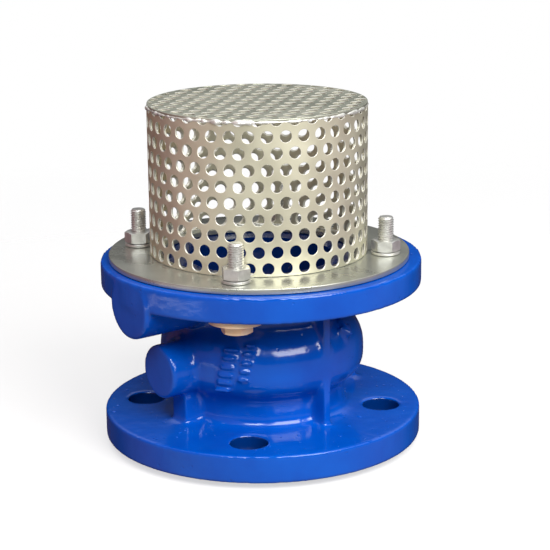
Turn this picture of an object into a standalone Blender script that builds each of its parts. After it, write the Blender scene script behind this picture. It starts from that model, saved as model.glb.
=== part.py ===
"""Flanged foot valve: a spring-closed disc in a short cast body, with a bolted-on perforated strainer basket.

It stands on its outlet flange. The origin is the centre of the outlet flange's raised face, and +Z
points along the valve's axis, towards the strainer. In use it hangs the other way up from a suction
pipe: water comes in through the basket and pushes the disc off its seat, towards the outlet flange.
"""

import math

import bmesh
import bpy
from mathutils import Matrix, Vector

# Clearances between pieces that touch, and how round the turned pieces are.
GAP = 0.0003
BODY_SEGMENTS = 40
RING_SEGMENTS = 36
SMALL_SEGMENTS = 18
BOLT_SEGMENTS = 12
ARC_STEP = math.radians(20)

# Flanges, DN50 PN16.
FACE_TO_FACE = 0.0969
OUTLET_FLANGE_RADIUS = 0.0828
OUTLET_FLANGE_THICKNESS = 0.01425
INLET_FLANGE_RADIUS = 0.083
INLET_FLANGE_THICKNESS = 0.0132
RIM_EDGE = 0.0016
RAISED_FACE_RADIUS = 0.0495
RAISED_FACE_HEIGHT = 0.003
HOLE_CIRCLE_RADIUS = 0.0625
HOLE_RADIUS = 0.0095
HOLE_COUNT = 4
OUTLET_HOLE_TURN = math.radians(-6.5)
INLET_HOLE_TURN = math.radians(-10.7)
QUARTER_TURN = 2 * math.pi / HOLE_COUNT

# Outside of the cast body, between the flanges.
NECK_RADIUS = 0.043
NECK_HEIGHT = 0.01425
NECK_FILLET = 0.0045
BARREL_WALL = 0.0065
BARREL_FOOT = 0.008
BARREL_SHOULDER = 0.0095
SHOULDER_BELOW_SEAT = 0.010
THROAT_WALL = 0.006
THROAT_FILLET = 0.006
FOOT_ROUND = 0.0125
SHOULDER_ROUND = 0.021
HOLLOW_ROUND = 0.008

# Ribs and the two blank bosses on the cast body.
RIB_WIDTH = 0.0045
RIB_BELOW_BARREL = 0.0002
RIB_TURN = math.radians(38.5)
GUSSET_PAST_BARREL = 0.0113
GUSSET_HEIGHT = 0.014
BOSS_TURN = math.radians(-53)
LOWER_BOSS_RADIUS = 0.0138
LOWER_BOSS_PAST_BARREL = 0.0123
LOWER_BOSS_HEIGHT = 0.0294
UPPER_BOSS_RADIUS = 0.0163
UPPER_BOSS_INSIDE_RIM = 0.0005
UPPER_BOSS_BELOW_FACE = 0.0133
BOSS_EDGE = 0.002
BOSS_WEB_WIDTH = 0.012
BOSS_WEB_PAST_BARREL = 0.0003
ROOTING = 0.005

# Bores inside the body.
LEDGE_WIDTH = 0.008
POCKET_DEPTH = 0.018
INLET_BORE_MARGIN = 0.0017
FLOW_GAP = 0.0157
CHAMBER_FLOOR_RISE = 0.0042

# Seat ring, screwed in from the inlet against its O-ring.
SEAT_DEPTH = 0.0219
SEAT_BORE_RADIUS = 0.027
SEAT_NOSE_WIDTH = 0.0022
SEAT_NOSE_HEIGHT = 0.0018
SEAT_SPIGOT_WALL = 0.0057
SEAT_SPIGOT_HEIGHT = 0.0033
SEAT_RIM_WIDTH = 0.0033
SEAT_RIM_HEIGHT = 0.0057
SEAT_SLOT_WIDTH = 0.006
SEAT_SLOT_DEPTH = 0.0025
ORING_SECTION = 0.0018
ORING_INSET = 0.0006
ORING_SIDES = 6

# Disc, its rubber, and what clamps it on the stem.
LIFT = 0.013
DISC_OVERLAP = 0.004
DISC_RIM_WIDTH = 0.0015
DISC_FLOOR = 0.005
DISC_RIM_RISE = 0.003
SEAL_THICKNESS = 0.0041
RETAINER_INSIDE_SEAT = 0.004
RETAINER_THICKNESS = 0.0025
STEM_RADIUS = 0.005
STEM_COLLAR_STEP = 0.004
STEM_COLLAR_HEIGHT = 0.0037
STEM_NUT_WALL = 0.0027
STEM_NUT_HEIGHT = 0.008
STEM_PROUD = 0.0022
STEM_TAIL = 0.019
EDGE = 0.0006

# Guide spider on the ledge in the neck, and its bush.
SPIDER_RING_WIDTH = 0.005
SPIDER_RING_HEIGHT = 0.007
SPIDER_RING_RADIUS = 0.034
SPIDER_ARMS = 4
SPIDER_ARM_WIDTH = 0.005
HUB_WALL = 0.0035
BUSH_WALL = 0.0019
BUSH_FLANGE_STEP = 0.0023
BUSH_FLANGE_HEIGHT = 0.0024

# Closing spring.
WIRE_RADIUS = 0.001
SPRING_CLEARANCE = 0.0035
SPRING_TURNS = 4
SPRING_TURN_POINTS = 12
WIRE_SIDES = 6

# Strainer: a ring plate, a basket wall and a basket end. It sits a little off the valve's axis.
STRAINER_SHIFT = -0.001
PLATE_RADIUS = 0.0777
PLATE_LEDGE = 0.0047
PLATE_THICKNESS = 0.0028
BASKET_RADIUS = 0.0562
BASKET_SHEET = 0.0015
BASKET_HEIGHT = 0.0778

# Strainer bolts, M8, with a wide washer under the inlet flange.
BOLT_CLEAR_OF_BASKET = 0.0003
BOLT_TURN = math.radians(-10.7)
BOLT_RADIUS = 0.004
BOLT_CLEARANCE = 0.0005
BOLT_NUT_WALL = 0.0022
BOLT_HEAD_WALL = 0.0027
BOLT_HEAD_HEIGHT = 0.0053
BOLT_PROUD = 0.0195
NUT_HEIGHT = 0.0057
FLANGE_WASHER_OVERLAP = 0.0048
FLANGE_WASHER_THICKNESS = 0.003
PLATE_WASHER_WIDTH = 0.0032
PLATE_WASHER_THICKNESS = 0.0013

# Heights along the axis that more than one piece uses.
OUTLET_TOP = RAISED_FACE_HEIGHT + OUTLET_FLANGE_THICKNESS
INLET_UNDER = FACE_TO_FACE - INLET_FLANGE_THICKNESS
SEAT_TOP = FACE_TO_FACE - SEAT_DEPTH
SEAT_LEDGE = SEAT_TOP - SEAT_RIM_HEIGHT - GAP
SEAT_NOSE = SEAT_LEDGE - SEAT_SPIGOT_HEIGHT
SEAL_TOP = SEAT_NOSE - GAP
SEAL_FOOT = SEAL_TOP - SEAL_THICKNESS
DISC_RECESS = SEAL_FOOT - GAP
DISC_FOOT = DISC_RECESS - DISC_FLOOR
RETAINER_FOOT = SEAL_TOP + GAP
NUT_FOOT = RETAINER_FOOT + RETAINER_THICKNESS + GAP
STEM_TOP = NUT_FOOT + STEM_NUT_HEIGHT + STEM_PROUD
COLLAR_TOP = DISC_FOOT - GAP
COLLAR_FOOT = COLLAR_TOP - STEM_COLLAR_HEIGHT
BUSH_TOP = COLLAR_FOOT - LIFT - GAP
HUB_TOP = BUSH_TOP - BUSH_FLANGE_HEIGHT - GAP
SPIDER_FOOT = POCKET_DEPTH + GAP
SPIDER_TOP = SPIDER_FOOT + SPIDER_RING_HEIGHT
SPRING_FOOT = SPIDER_TOP + GAP
PLATE_FOOT = FACE_TO_FACE + GAP
PLATE_TOP = PLATE_FOOT + PLATE_THICKNESS
BASKET_FOOT = PLATE_TOP + GAP
BASKET_TOP = PLATE_TOP + BASKET_HEIGHT

# Radii that follow from the seat's bore.
SEAT_SPIGOT_RADIUS = SEAT_BORE_RADIUS + SEAT_SPIGOT_WALL
SEAT_HOLE_RADIUS = SEAT_SPIGOT_RADIUS + GAP
SEAT_RIM_RADIUS = SEAT_SPIGOT_RADIUS + SEAT_RIM_WIDTH
SEAT_POCKET_RADIUS = SEAT_RIM_RADIUS + GAP
INLET_BORE_RADIUS = SEAT_POCKET_RADIUS + INLET_BORE_MARGIN
DISC_RADIUS = SEAT_BORE_RADIUS + DISC_OVERLAP
RETAINER_RADIUS = SEAT_BORE_RADIUS - RETAINER_INSIDE_SEAT
CHAMBER_RADIUS = DISC_RADIUS + FLOW_GAP
BARREL_RADIUS = CHAMBER_RADIUS + BARREL_WALL
THROAT_RADIUS = INLET_BORE_RADIUS + THROAT_WALL
RIB_RADIUS = BARREL_RADIUS - RIB_BELOW_BARREL
GUSSET_REACH = BARREL_RADIUS + GUSSET_PAST_BARREL
LOWER_BOSS_REACH = BARREL_RADIUS + LOWER_BOSS_PAST_BARREL
UPPER_BOSS_REACH = INLET_FLANGE_RADIUS - UPPER_BOSS_INSIDE_RIM
BOSS_WEB_REACH = BARREL_RADIUS + BOSS_WEB_PAST_BARREL

# Radii that follow from the stem, the spider, the basket and the bolts.
STEM_HOLE_RADIUS = STEM_RADIUS + GAP
STEM_COLLAR_RADIUS = STEM_RADIUS + STEM_COLLAR_STEP
STEM_NUT_FLATS = 2 * (STEM_HOLE_RADIUS + STEM_NUT_WALL)
BUSH_RADIUS = STEM_HOLE_RADIUS + BUSH_WALL
BUSH_FLANGE_RADIUS = BUSH_RADIUS + BUSH_FLANGE_STEP
HUB_BORE_RADIUS = BUSH_RADIUS + GAP
HUB_RADIUS = HUB_BORE_RADIUS + HUB_WALL
SPRING_RADIUS = HUB_RADIUS + SPRING_CLEARANCE + WIRE_RADIUS
POCKET_RADIUS = SPIDER_RING_RADIUS + GAP
OUTLET_BORE_RADIUS = SPIDER_RING_RADIUS - LEDGE_WIDTH
PLATE_BORE_RADIUS = BASKET_RADIUS - BASKET_SHEET - PLATE_LEDGE
BOLT_HOLE_RADIUS = BOLT_RADIUS + BOLT_CLEARANCE
BOLT_NUT_FLATS = 2 * (BOLT_RADIUS + GAP + BOLT_NUT_WALL)
BOLT_HEAD_FLATS = 2 * (BOLT_RADIUS + GAP + BOLT_HEAD_WALL)
FLANGE_WASHER_RADIUS = HOLE_RADIUS + FLANGE_WASHER_OVERLAP
PLATE_WASHER_RADIUS = BOLT_RADIUS + GAP + PLATE_WASHER_WIDTH
BOLT_CIRCLE_RADIUS = BASKET_RADIUS + abs(STRAINER_SHIFT) + BOLT_CLEAR_OF_BASKET + PLATE_WASHER_RADIUS


def clear_scene():
    for thing in list(bpy.data.objects):
        bpy.data.objects.remove(thing, do_unlink=True)


def finish(name, colour, metallic, roughness):
    made = bpy.data.materials.new(name)
    made.use_nodes = True
    shader = made.node_tree.nodes["Principled BSDF"]
    shader.inputs["Base Color"].default_value = (*colour, 1)
    shader.inputs["Metallic"].default_value = metallic
    shader.inputs["Roughness"].default_value = roughness
    made.diffuse_color = (*colour, 1)
    return made


def piece(name, shape, material=None):
    """An object that holds the shape, with its round faces smooth and its edges sharp."""
    bmesh.ops.remove_doubles(shape, verts=shape.verts, dist=1e-7)
    bmesh.ops.recalc_face_normals(shape, faces=shape.faces)
    mesh = bpy.data.meshes.new(name)
    shape.to_mesh(mesh)
    shape.free()
    mesh.shade_smooth()
    mesh.set_sharp_from_angle(angle=math.radians(35))
    made = bpy.data.objects.new(name, mesh)
    bpy.context.scene.collection.objects.link(made)
    if material:
        mesh.materials.append(material)
    else:
        made.hide_render = True
        made.display_type = "WIRE"
    return made


def combine(target, helper, operation):
    step = target.modifiers.new(f"{operation.lower()} {helper.name}", "BOOLEAN")
    step.operation = operation
    step.solver = "EXACT"
    step.object = helper


def rounded(corners):
    """The points of an outline whose corners are (radius, height, fillet)."""
    points = []
    for index, (radius, height, fillet) in enumerate(corners):
        corner = Vector((radius, height))
        if not fillet:
            points.append(corner)
            continue
        back = (Vector(corners[index - 1][:2]) - corner).normalized()
        ahead = (Vector(corners[index + 1][:2]) - corner).normalized()
        half = back.angle(ahead) / 2
        centre = corner + (back + ahead).normalized() * fillet / math.sin(half)
        start = corner + back * fillet / math.tan(half)
        swing = (start - centre).angle_signed(corner + ahead * fillet / math.tan(half) - centre)
        steps = max(1, round(abs(swing) / ARC_STEP))
        for step in range(steps + 1):
            turn = -swing * step / steps
            arm = start - centre
            points.append(centre + Matrix.Rotation(turn, 2) @ arm)
    return points


def turned(points, segments):
    """A closed outline in the XZ plane, spun round Z. Points on the axis close the shape there."""
    shape = bmesh.new()
    ring = [shape.verts.new((point[0], 0, point[1])) for point in points]
    edges = [shape.edges.new((ring[index - 1], ring[index])) for index in range(len(ring))]
    spun = [edge for edge in edges if max(vert.co.x for vert in edge.verts) > 1e-6]
    bmesh.ops.spin(
        shape,
        geom=ring + spun,
        axis=(0, 0, 1),
        cent=(0, 0, 0),
        steps=segments,
        angle=2 * math.pi,
        use_merge=True,
    )
    bmesh.ops.remove_doubles(shape, verts=shape.verts, dist=1e-7)
    loose = [edge for edge in shape.edges if not edge.link_faces]
    bmesh.ops.delete(shape, geom=loose, context="EDGES")
    return shape


def ring_outline(inner, outer, foot, top):
    return [(inner, foot), (outer, foot), (outer, top), (inner, top)]


def rod_outline(radius, foot, top):
    return [(0, foot), (radius, foot), (radius, top), (0, top)]


def box(low, high):
    shape = bmesh.new()
    bmesh.ops.create_cube(shape, size=1)
    low = Vector(low)
    high = Vector(high)
    bmesh.ops.scale(shape, vec=high - low, verts=shape.verts)
    bmesh.ops.translate(shape, vec=(low + high) / 2, verts=shape.verts)
    return shape


def prism(sides, flats, foot, top):
    """A polygon bar along Z, measured across its flats."""
    shape = bmesh.new()
    corner_radius = flats / 2 / math.cos(math.pi / sides)
    bmesh.ops.create_circle(shape, cap_ends=True, segments=sides, radius=corner_radius)
    bmesh.ops.translate(shape, vec=(0, 0, foot), verts=shape.verts)
    lifted = bmesh.ops.extrude_face_region(shape, geom=shape.faces[:])["geom"]
    corners = [part for part in lifted if isinstance(part, bmesh.types.BMVert)]
    bmesh.ops.translate(shape, vec=(0, 0, top - foot), verts=corners)
    return shape


def joined(shapes):
    """One mesh that holds several shapes that don't touch."""
    whole = bmesh.new()
    for shape in shapes:
        copy = bpy.data.meshes.new("part")
        shape.to_mesh(copy)
        shape.free()
        whole.from_mesh(copy)
        bpy.data.meshes.remove(copy)
    return whole


def moved(shape, place):
    bmesh.ops.transform(shape, matrix=place, verts=shape.verts)
    return shape


def around(radius, turn):
    """A point in the horizontal plane. A turn of zero faces -Y, and a turn to the right is positive."""
    return Vector((radius * math.sin(turn), -radius * math.cos(turn), 0))


def circle_places(radius, turn):
    return [around(radius, turn + index * QUARTER_TURN) for index in range(HOLE_COUNT)]


def body_outline():
    """The outside of the casting, from the axis at the outlet face up to the axis at the inlet face."""
    foot = OUTLET_TOP + NECK_HEIGHT
    shoulder = SEAT_LEDGE - SHOULDER_BELOW_SEAT
    return rounded(
        [
            (0, 0, 0),
            (RAISED_FACE_RADIUS, 0, 0),
            (RAISED_FACE_RADIUS, RAISED_FACE_HEIGHT, 0),
            (OUTLET_FLANGE_RADIUS - RIM_EDGE, RAISED_FACE_HEIGHT, 0),
            (OUTLET_FLANGE_RADIUS, RAISED_FACE_HEIGHT + RIM_EDGE, 0),
            (OUTLET_FLANGE_RADIUS, OUTLET_TOP - RIM_EDGE, 0),
            (OUTLET_FLANGE_RADIUS - RIM_EDGE, OUTLET_TOP, 0),
            (NECK_RADIUS, OUTLET_TOP, NECK_FILLET),
            (NECK_RADIUS, foot, HOLLOW_ROUND),
            (BARREL_RADIUS, foot + BARREL_FOOT, FOOT_ROUND),
            (BARREL_RADIUS, shoulder, SHOULDER_ROUND),
            (THROAT_RADIUS, shoulder + BARREL_SHOULDER, HOLLOW_ROUND),
            (THROAT_RADIUS, INLET_UNDER, THROAT_FILLET),
            (INLET_FLANGE_RADIUS - RIM_EDGE, INLET_UNDER, 0),
            (INLET_FLANGE_RADIUS, INLET_UNDER + RIM_EDGE, 0),
            (INLET_FLANGE_RADIUS, FACE_TO_FACE - RIM_EDGE, 0),
            (INLET_FLANGE_RADIUS - RIM_EDGE, FACE_TO_FACE, 0),
            (0, FACE_TO_FACE, 0),
        ]
    )


def cavity_outline():
    """Everything that is hollow along the axis, from below the outlet face to above the inlet face."""
    floor = SPIDER_TOP + CHAMBER_FLOOR_RISE
    slope = CHAMBER_RADIUS - POCKET_RADIUS
    roof = SEAT_LEDGE - SEAT_SPIGOT_HEIGHT
    return rounded(
        [
            (0, -ROOTING, 0),
            (OUTLET_BORE_RADIUS, -ROOTING, 0),
            (OUTLET_BORE_RADIUS, POCKET_DEPTH, 0),
            (POCKET_RADIUS, POCKET_DEPTH, 0),
            (POCKET_RADIUS, floor, 0),
            (CHAMBER_RADIUS, floor + slope, HOLLOW_ROUND),
            (CHAMBER_RADIUS, SEAT_LEDGE - LIFT, HOLLOW_ROUND),
            (SEAT_HOLE_RADIUS, roof, 0),
            (SEAT_HOLE_RADIUS, SEAT_LEDGE, 0),
            (SEAT_POCKET_RADIUS, SEAT_LEDGE, 0),
            (SEAT_POCKET_RADIUS, SEAT_TOP, 0),
            (INLET_BORE_RADIUS, SEAT_TOP, 0),
            (INLET_BORE_RADIUS, FACE_TO_FACE + ROOTING, 0),
            (0, FACE_TO_FACE + ROOTING, 0),
        ]
    )


def upright_rib(outline, width, turn):
    """A flat web in the plane of the axis. The outline is (distance from the axis, height)."""
    shape = bmesh.new()
    corners = [shape.verts.new((width / 2, -reach, height)) for reach, height in outline]
    side = shape.faces.new(corners)
    lifted = bmesh.ops.extrude_face_region(shape, geom=[side], use_keep_orig=True)["geom"]
    far = [part for part in lifted if isinstance(part, bmesh.types.BMVert)]
    bmesh.ops.translate(shape, vec=(-width, 0, 0), verts=far)
    return moved(shape, Matrix.Rotation(turn, 4, "Z"))


def boss(radius, reach, height, turn):
    """A blank round boss that points straight out from the casting."""
    outline = [
        (0, 0),
        (radius, 0),
        (radius, reach - THROAT_RADIUS - BOSS_EDGE),
        (radius - BOSS_EDGE, reach - THROAT_RADIUS),
        (0, reach - THROAT_RADIUS),
    ]
    shape = turned(outline, SMALL_SEGMENTS + HOLE_COUNT)
    place = Matrix.Translation(around(THROAT_RADIUS, turn) + Vector((0, 0, height)))
    return moved(shape, place @ Matrix.Rotation(turn, 4, "Z") @ Matrix.Rotation(math.pi / 2, 4, "X"))


def body_webs():
    """The ribs, the bosses and the web under the lower boss, as (name, shape)."""
    top = INLET_UNDER + ROOTING
    foot = OUTLET_TOP - ROOTING
    root = NECK_RADIUS - ROOTING
    plain = [(root, foot), (RIB_RADIUS, foot), (RIB_RADIUS, top), (root, top)]
    gusset = OUTLET_TOP + GUSSET_HEIGHT
    wide = [
        (root, foot),
        (GUSSET_REACH, foot),
        (GUSSET_REACH, gusset),
        (RIB_RADIUS, gusset + GUSSET_HEIGHT),
        (RIB_RADIUS, top),
        (root, top),
    ]
    lower = OUTLET_TOP + LOWER_BOSS_HEIGHT
    web = [(root, foot), (BOSS_WEB_REACH, foot), (BOSS_WEB_REACH, lower), (root, lower)]
    upper = FACE_TO_FACE - UPPER_BOSS_BELOW_FACE
    return [
        ("front rib", upright_rib(plain, RIB_WIDTH, RIB_TURN)),
        ("right rib", upright_rib(wide, RIB_WIDTH, RIB_TURN + QUARTER_TURN)),
        ("back rib", upright_rib(wide, RIB_WIDTH, RIB_TURN + 2 * QUARTER_TURN)),
        ("boss web", upright_rib(web, BOSS_WEB_WIDTH, BOSS_TURN)),
        ("lower boss", boss(LOWER_BOSS_RADIUS, LOWER_BOSS_REACH, lower, BOSS_TURN)),
        ("upper boss", boss(UPPER_BOSS_RADIUS, UPPER_BOSS_REACH, upper, BOSS_TURN)),
    ]


def rods(radius, foot, top, segments, places):
    """Upright round bars at these places, as one mesh."""
    outline = rod_outline(radius, foot, top)
    return joined([moved(turned(outline, segments), Matrix.Translation(place)) for place in places])


def bolt_hole_cutters():
    outlet_places = circle_places(HOLE_CIRCLE_RADIUS, OUTLET_HOLE_TURN)
    inlet_places = circle_places(HOLE_CIRCLE_RADIUS, INLET_HOLE_TURN)
    outlet = rods(HOLE_RADIUS, -ROOTING, OUTLET_TOP + GAP, SMALL_SEGMENTS, outlet_places)
    inlet = rods(HOLE_RADIUS, INLET_UNDER - GAP, FACE_TO_FACE + ROOTING, SMALL_SEGMENTS, inlet_places)
    return joined([outlet, inlet])


def make_valve_body():
    paint = finish("blue epoxy coating", (0.005, 0.06, 0.50), 0.0, 0.2)
    body = piece("valve_body", turned(body_outline(), BODY_SEGMENTS), paint)
    for name, shape in body_webs():
        combine(body, piece(name, shape), "UNION")
    wide = INLET_FLANGE_RADIUS + ROOTING
    over = box((-wide, -wide, FACE_TO_FACE), (wide, wide, FACE_TO_FACE + UPPER_BOSS_RADIUS))
    combine(body, piece("inlet face trim", over), "DIFFERENCE")
    combine(body, piece("cavity", turned(cavity_outline(), BODY_SEGMENTS)), "DIFFERENCE")
    combine(body, piece("flange holes", bolt_hole_cutters()), "DIFFERENCE")
    return body


def make_seat_ring():
    bronze = finish("seat bronze", (0.55, 0.36, 0.16), 1.0, 0.35)
    groove = ORING_SECTION + 2 * GAP
    groove_in = SEAT_RIM_RADIUS - groove - ORING_INSET
    outline = [
        (SEAT_BORE_RADIUS, SEAT_NOSE),
        (SEAT_BORE_RADIUS + SEAT_NOSE_WIDTH, SEAT_NOSE),
        (SEAT_BORE_RADIUS + SEAT_NOSE_WIDTH, SEAT_NOSE + SEAT_NOSE_HEIGHT),
        (SEAT_SPIGOT_RADIUS, SEAT_NOSE + SEAT_NOSE_HEIGHT),
        (SEAT_SPIGOT_RADIUS, SEAT_LEDGE + GAP),
        (groove_in, SEAT_LEDGE + GAP),
        (groove_in, SEAT_LEDGE + GAP + groove),
        (SEAT_RIM_RADIUS, SEAT_LEDGE + GAP + groove),
        (SEAT_RIM_RADIUS, SEAT_TOP),
        (SEAT_BORE_RADIUS, SEAT_TOP),
    ]
    ring = piece("seat_ring", turned(outline, RING_SEGMENTS), bronze)
    reach = SEAT_RIM_RADIUS + ROOTING
    half = SEAT_SLOT_WIDTH / 2
    slot = box((-reach, -half, SEAT_TOP - SEAT_SLOT_DEPTH), (reach, half, SEAT_TOP + ROOTING))
    combine(ring, piece("seat tool slots", slot), "DIFFERENCE")


def circle_outline(radius, height, section, sides):
    """A round section of a ring."""
    turns = [2 * math.pi * side / sides for side in range(sides)]
    return [(radius + section * math.cos(turn), height + section * math.sin(turn)) for turn in turns]


def make_seat_oring():
    black = finish("nitrile rubber", (0.02, 0.02, 0.02), 0.0, 0.6)
    half = ORING_SECTION / 2
    radius = SEAT_RIM_RADIUS - ORING_INSET - GAP - half
    section = circle_outline(radius, SEAT_LEDGE + 2 * GAP + half, half, ORING_SIDES)
    piece("seat_oring", turned(section, RING_SEGMENTS), black)


def make_valve_disc():
    steel = finish("disc steel", (0.60, 0.60, 0.58), 1.0, 0.35)
    rim = DISC_RECESS + DISC_RIM_RISE
    outline = [
        (STEM_HOLE_RADIUS, DISC_FOOT),
        (DISC_RADIUS - EDGE, DISC_FOOT),
        (DISC_RADIUS, DISC_FOOT + EDGE),
        (DISC_RADIUS, rim),
        (DISC_RADIUS - DISC_RIM_WIDTH, rim),
        (DISC_RADIUS - DISC_RIM_WIDTH, DISC_RECESS),
        (STEM_HOLE_RADIUS, DISC_RECESS),
    ]
    return piece("valve_disc", turned(outline, RING_SEGMENTS), steel)


def make_disc_seal():
    rubber = finish("seal rubber", (0.03, 0.03, 0.03), 0.0, 0.55)
    outer = DISC_RADIUS - DISC_RIM_WIDTH - GAP
    ring = turned(ring_outline(STEM_HOLE_RADIUS, outer, SEAL_FOOT, SEAL_TOP), RING_SEGMENTS)
    return piece("disc_seal", ring, rubber)


def make_seal_retainer():
    steel = finish("retainer steel", (0.62, 0.62, 0.60), 1.0, 0.3)
    outline = [
        (STEM_HOLE_RADIUS, RETAINER_FOOT),
        (RETAINER_RADIUS, RETAINER_FOOT),
        (RETAINER_RADIUS, NUT_FOOT - GAP - EDGE),
        (RETAINER_RADIUS - EDGE, NUT_FOOT - GAP),
        (STEM_HOLE_RADIUS, NUT_FOOT - GAP),
    ]
    return piece("seal_retainer", turned(outline, RING_SEGMENTS), steel)


def make_guide_stem():
    steel = finish("stem steel", (0.65, 0.65, 0.63), 1.0, 0.25)
    outline = [
        (0, STEM_TAIL),
        (STEM_RADIUS - EDGE, STEM_TAIL),
        (STEM_RADIUS, STEM_TAIL + EDGE),
        (STEM_RADIUS, COLLAR_FOOT),
        (STEM_COLLAR_RADIUS, COLLAR_FOOT),
        (STEM_COLLAR_RADIUS, COLLAR_TOP),
        (STEM_RADIUS, COLLAR_TOP),
        (STEM_RADIUS, STEM_TOP - EDGE),
        (STEM_RADIUS - EDGE, STEM_TOP),
        (0, STEM_TOP),
    ]
    return piece("guide_stem", turned(outline, SMALL_SEGMENTS), steel)


def make_retainer_nut():
    steel = finish("stem nut steel", (0.62, 0.62, 0.60), 1.0, 0.3)
    top = NUT_FOOT + STEM_NUT_HEIGHT
    nut = piece("retainer_nut", prism(6, STEM_NUT_FLATS, NUT_FOOT, top), steel)
    hole = turned(rod_outline(STEM_HOLE_RADIUS, NUT_FOOT - ROOTING, top + ROOTING), BOLT_SEGMENTS)
    combine(nut, piece("retainer nut hole", hole), "DIFFERENCE")
    return nut


def make_guide_spider():
    bronze = finish("spider bronze", (0.50, 0.33, 0.15), 1.0, 0.45)
    ring_in = SPIDER_RING_RADIUS - SPIDER_RING_WIDTH
    ring = turned(ring_outline(ring_in, SPIDER_RING_RADIUS, SPIDER_FOOT, SPIDER_TOP), RING_SEGMENTS)
    spider = piece("guide_spider", ring, bronze)
    for arm in range(SPIDER_ARMS):
        half = SPIDER_ARM_WIDTH / 2
        reach = SPIDER_RING_RADIUS - SPIDER_RING_WIDTH / 2
        bar = box((HUB_BORE_RADIUS, -half, SPIDER_FOOT + EDGE), (reach, half, SPIDER_TOP - EDGE))
        turn = Matrix.Rotation(arm * 2 * math.pi / SPIDER_ARMS, 4, "Z")
        combine(spider, piece(f"spider arm {arm + 1}", moved(bar, turn)), "UNION")
    hub = turned(rod_outline(HUB_RADIUS, SPIDER_FOOT, HUB_TOP), RING_SEGMENTS)
    combine(spider, piece("spider hub", hub), "UNION")
    bore = turned(rod_outline(HUB_BORE_RADIUS, SPIDER_FOOT - ROOTING, HUB_TOP + ROOTING), SMALL_SEGMENTS)
    combine(spider, piece("spider bore", bore), "DIFFERENCE")


def make_guide_bush():
    polymer = finish("bush polymer", (0.75, 0.72, 0.64), 0.0, 0.45)
    outline = [
        (STEM_HOLE_RADIUS, SPIDER_FOOT),
        (BUSH_RADIUS, SPIDER_FOOT),
        (BUSH_RADIUS, HUB_TOP + GAP),
        (BUSH_FLANGE_RADIUS, HUB_TOP + GAP),
        (BUSH_FLANGE_RADIUS, BUSH_TOP),
        (STEM_HOLE_RADIUS, BUSH_TOP),
    ]
    return piece("guide_bush", turned(outline, SMALL_SEGMENTS), polymer)


def spring_height(turn, end_rise, working_rise):
    """How far the wire's centre line has climbed after so many turns, with a closed turn at each end."""
    if turn < 1:
        return turn * end_rise
    if turn < 1 + SPRING_TURNS:
        return end_rise + (turn - 1) * working_rise
    return end_rise + SPRING_TURNS * working_rise + (turn - 1 - SPRING_TURNS) * end_rise


def make_closing_spring():
    steel = finish("spring steel", (0.60, 0.60, 0.58), 1.0, 0.3)
    foot = SPRING_FOOT + WIRE_RADIUS
    end_rise = 2 * WIRE_RADIUS + GAP
    working_rise = (DISC_FOOT - GAP - WIRE_RADIUS - foot - 2 * end_rise) / SPRING_TURNS
    shape = bmesh.new()
    rings = []
    for step in range((SPRING_TURNS + 2) * SPRING_TURN_POINTS + 1):
        turn = step / SPRING_TURN_POINTS
        centre = Matrix.Translation((0, 0, foot + spring_height(turn, end_rise, working_rise)))
        place = Matrix.Rotation(2 * math.pi * turn, 4, "Z") @ centre
        section = circle_outline(SPRING_RADIUS, 0, WIRE_RADIUS, WIRE_SIDES)
        rings.append([shape.verts.new(place @ Vector((reach, 0, height))) for reach, height in section])
    for ring, following in zip(rings, rings[1:]):
        for side in range(WIRE_SIDES):
            shape.faces.new((ring[side - 1], ring[side], following[side], following[side - 1]))
    shape.faces.new(rings[0])
    shape.faces.new(rings[-1])
    return piece("closing_spring", shape, steel)


def bolt_places():
    return circle_places(BOLT_CIRCLE_RADIUS, BOLT_TURN)


def make_strainer_plate():
    steel = finish("plate steel", (0.42, 0.41, 0.34), 1.0, 0.45)
    shift = Matrix.Translation((STRAINER_SHIFT, 0, 0))
    outline = ring_outline(PLATE_BORE_RADIUS, PLATE_RADIUS, PLATE_FOOT, PLATE_TOP)
    plate = piece("strainer_plate", moved(turned(outline, BODY_SEGMENTS), shift), steel)
    holes = rods(BOLT_HOLE_RADIUS, PLATE_FOOT - ROOTING, PLATE_TOP + ROOTING, BOLT_SEGMENTS, bolt_places())
    combine(plate, piece("plate holes", holes), "DIFFERENCE")


def make_basket():
    steel = finish("basket steel", (0.60, 0.57, 0.46), 1.0, 0.4)
    shift = Matrix.Translation((STRAINER_SHIFT, 0, 0))
    under_end = BASKET_TOP - BASKET_SHEET
    wall = ring_outline(BASKET_RADIUS - BASKET_SHEET, BASKET_RADIUS, BASKET_FOOT, under_end - GAP)
    piece("basket_shell", moved(turned(wall, BODY_SEGMENTS), shift), steel)
    end = rod_outline(BASKET_RADIUS, under_end, BASKET_TOP)
    piece("basket_end", moved(turned(end, BODY_SEGMENTS), shift), steel)


def washer(name, outer, foot, top, place, material):
    shape = turned(ring_outline(BOLT_RADIUS + GAP, outer, foot, top), SMALL_SEGMENTS)
    return piece(name, moved(shape, Matrix.Translation(place)), material)


def make_bolt(name, place, material):
    """A hexagon-head bolt, put in from below: its head is under the inlet flange and its end stands up."""
    head_top = INLET_UNDER - GAP - FLANGE_WASHER_THICKNESS - GAP
    head_foot = head_top - BOLT_HEAD_HEIGHT
    top = PLATE_TOP + BOLT_PROUD
    head = moved(prism(6, BOLT_HEAD_FLATS, head_foot, head_top), Matrix.Translation(place))
    bolt = piece(name, head, material)
    outline = [
        (0, head_foot + EDGE),
        (BOLT_RADIUS, head_foot + EDGE),
        (BOLT_RADIUS, top - EDGE),
        (BOLT_RADIUS - EDGE, top),
        (0, top),
    ]
    shank = moved(turned(outline, BOLT_SEGMENTS), Matrix.Translation(place))
    combine(bolt, piece(f"{name} shank", shank), "UNION")


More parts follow.
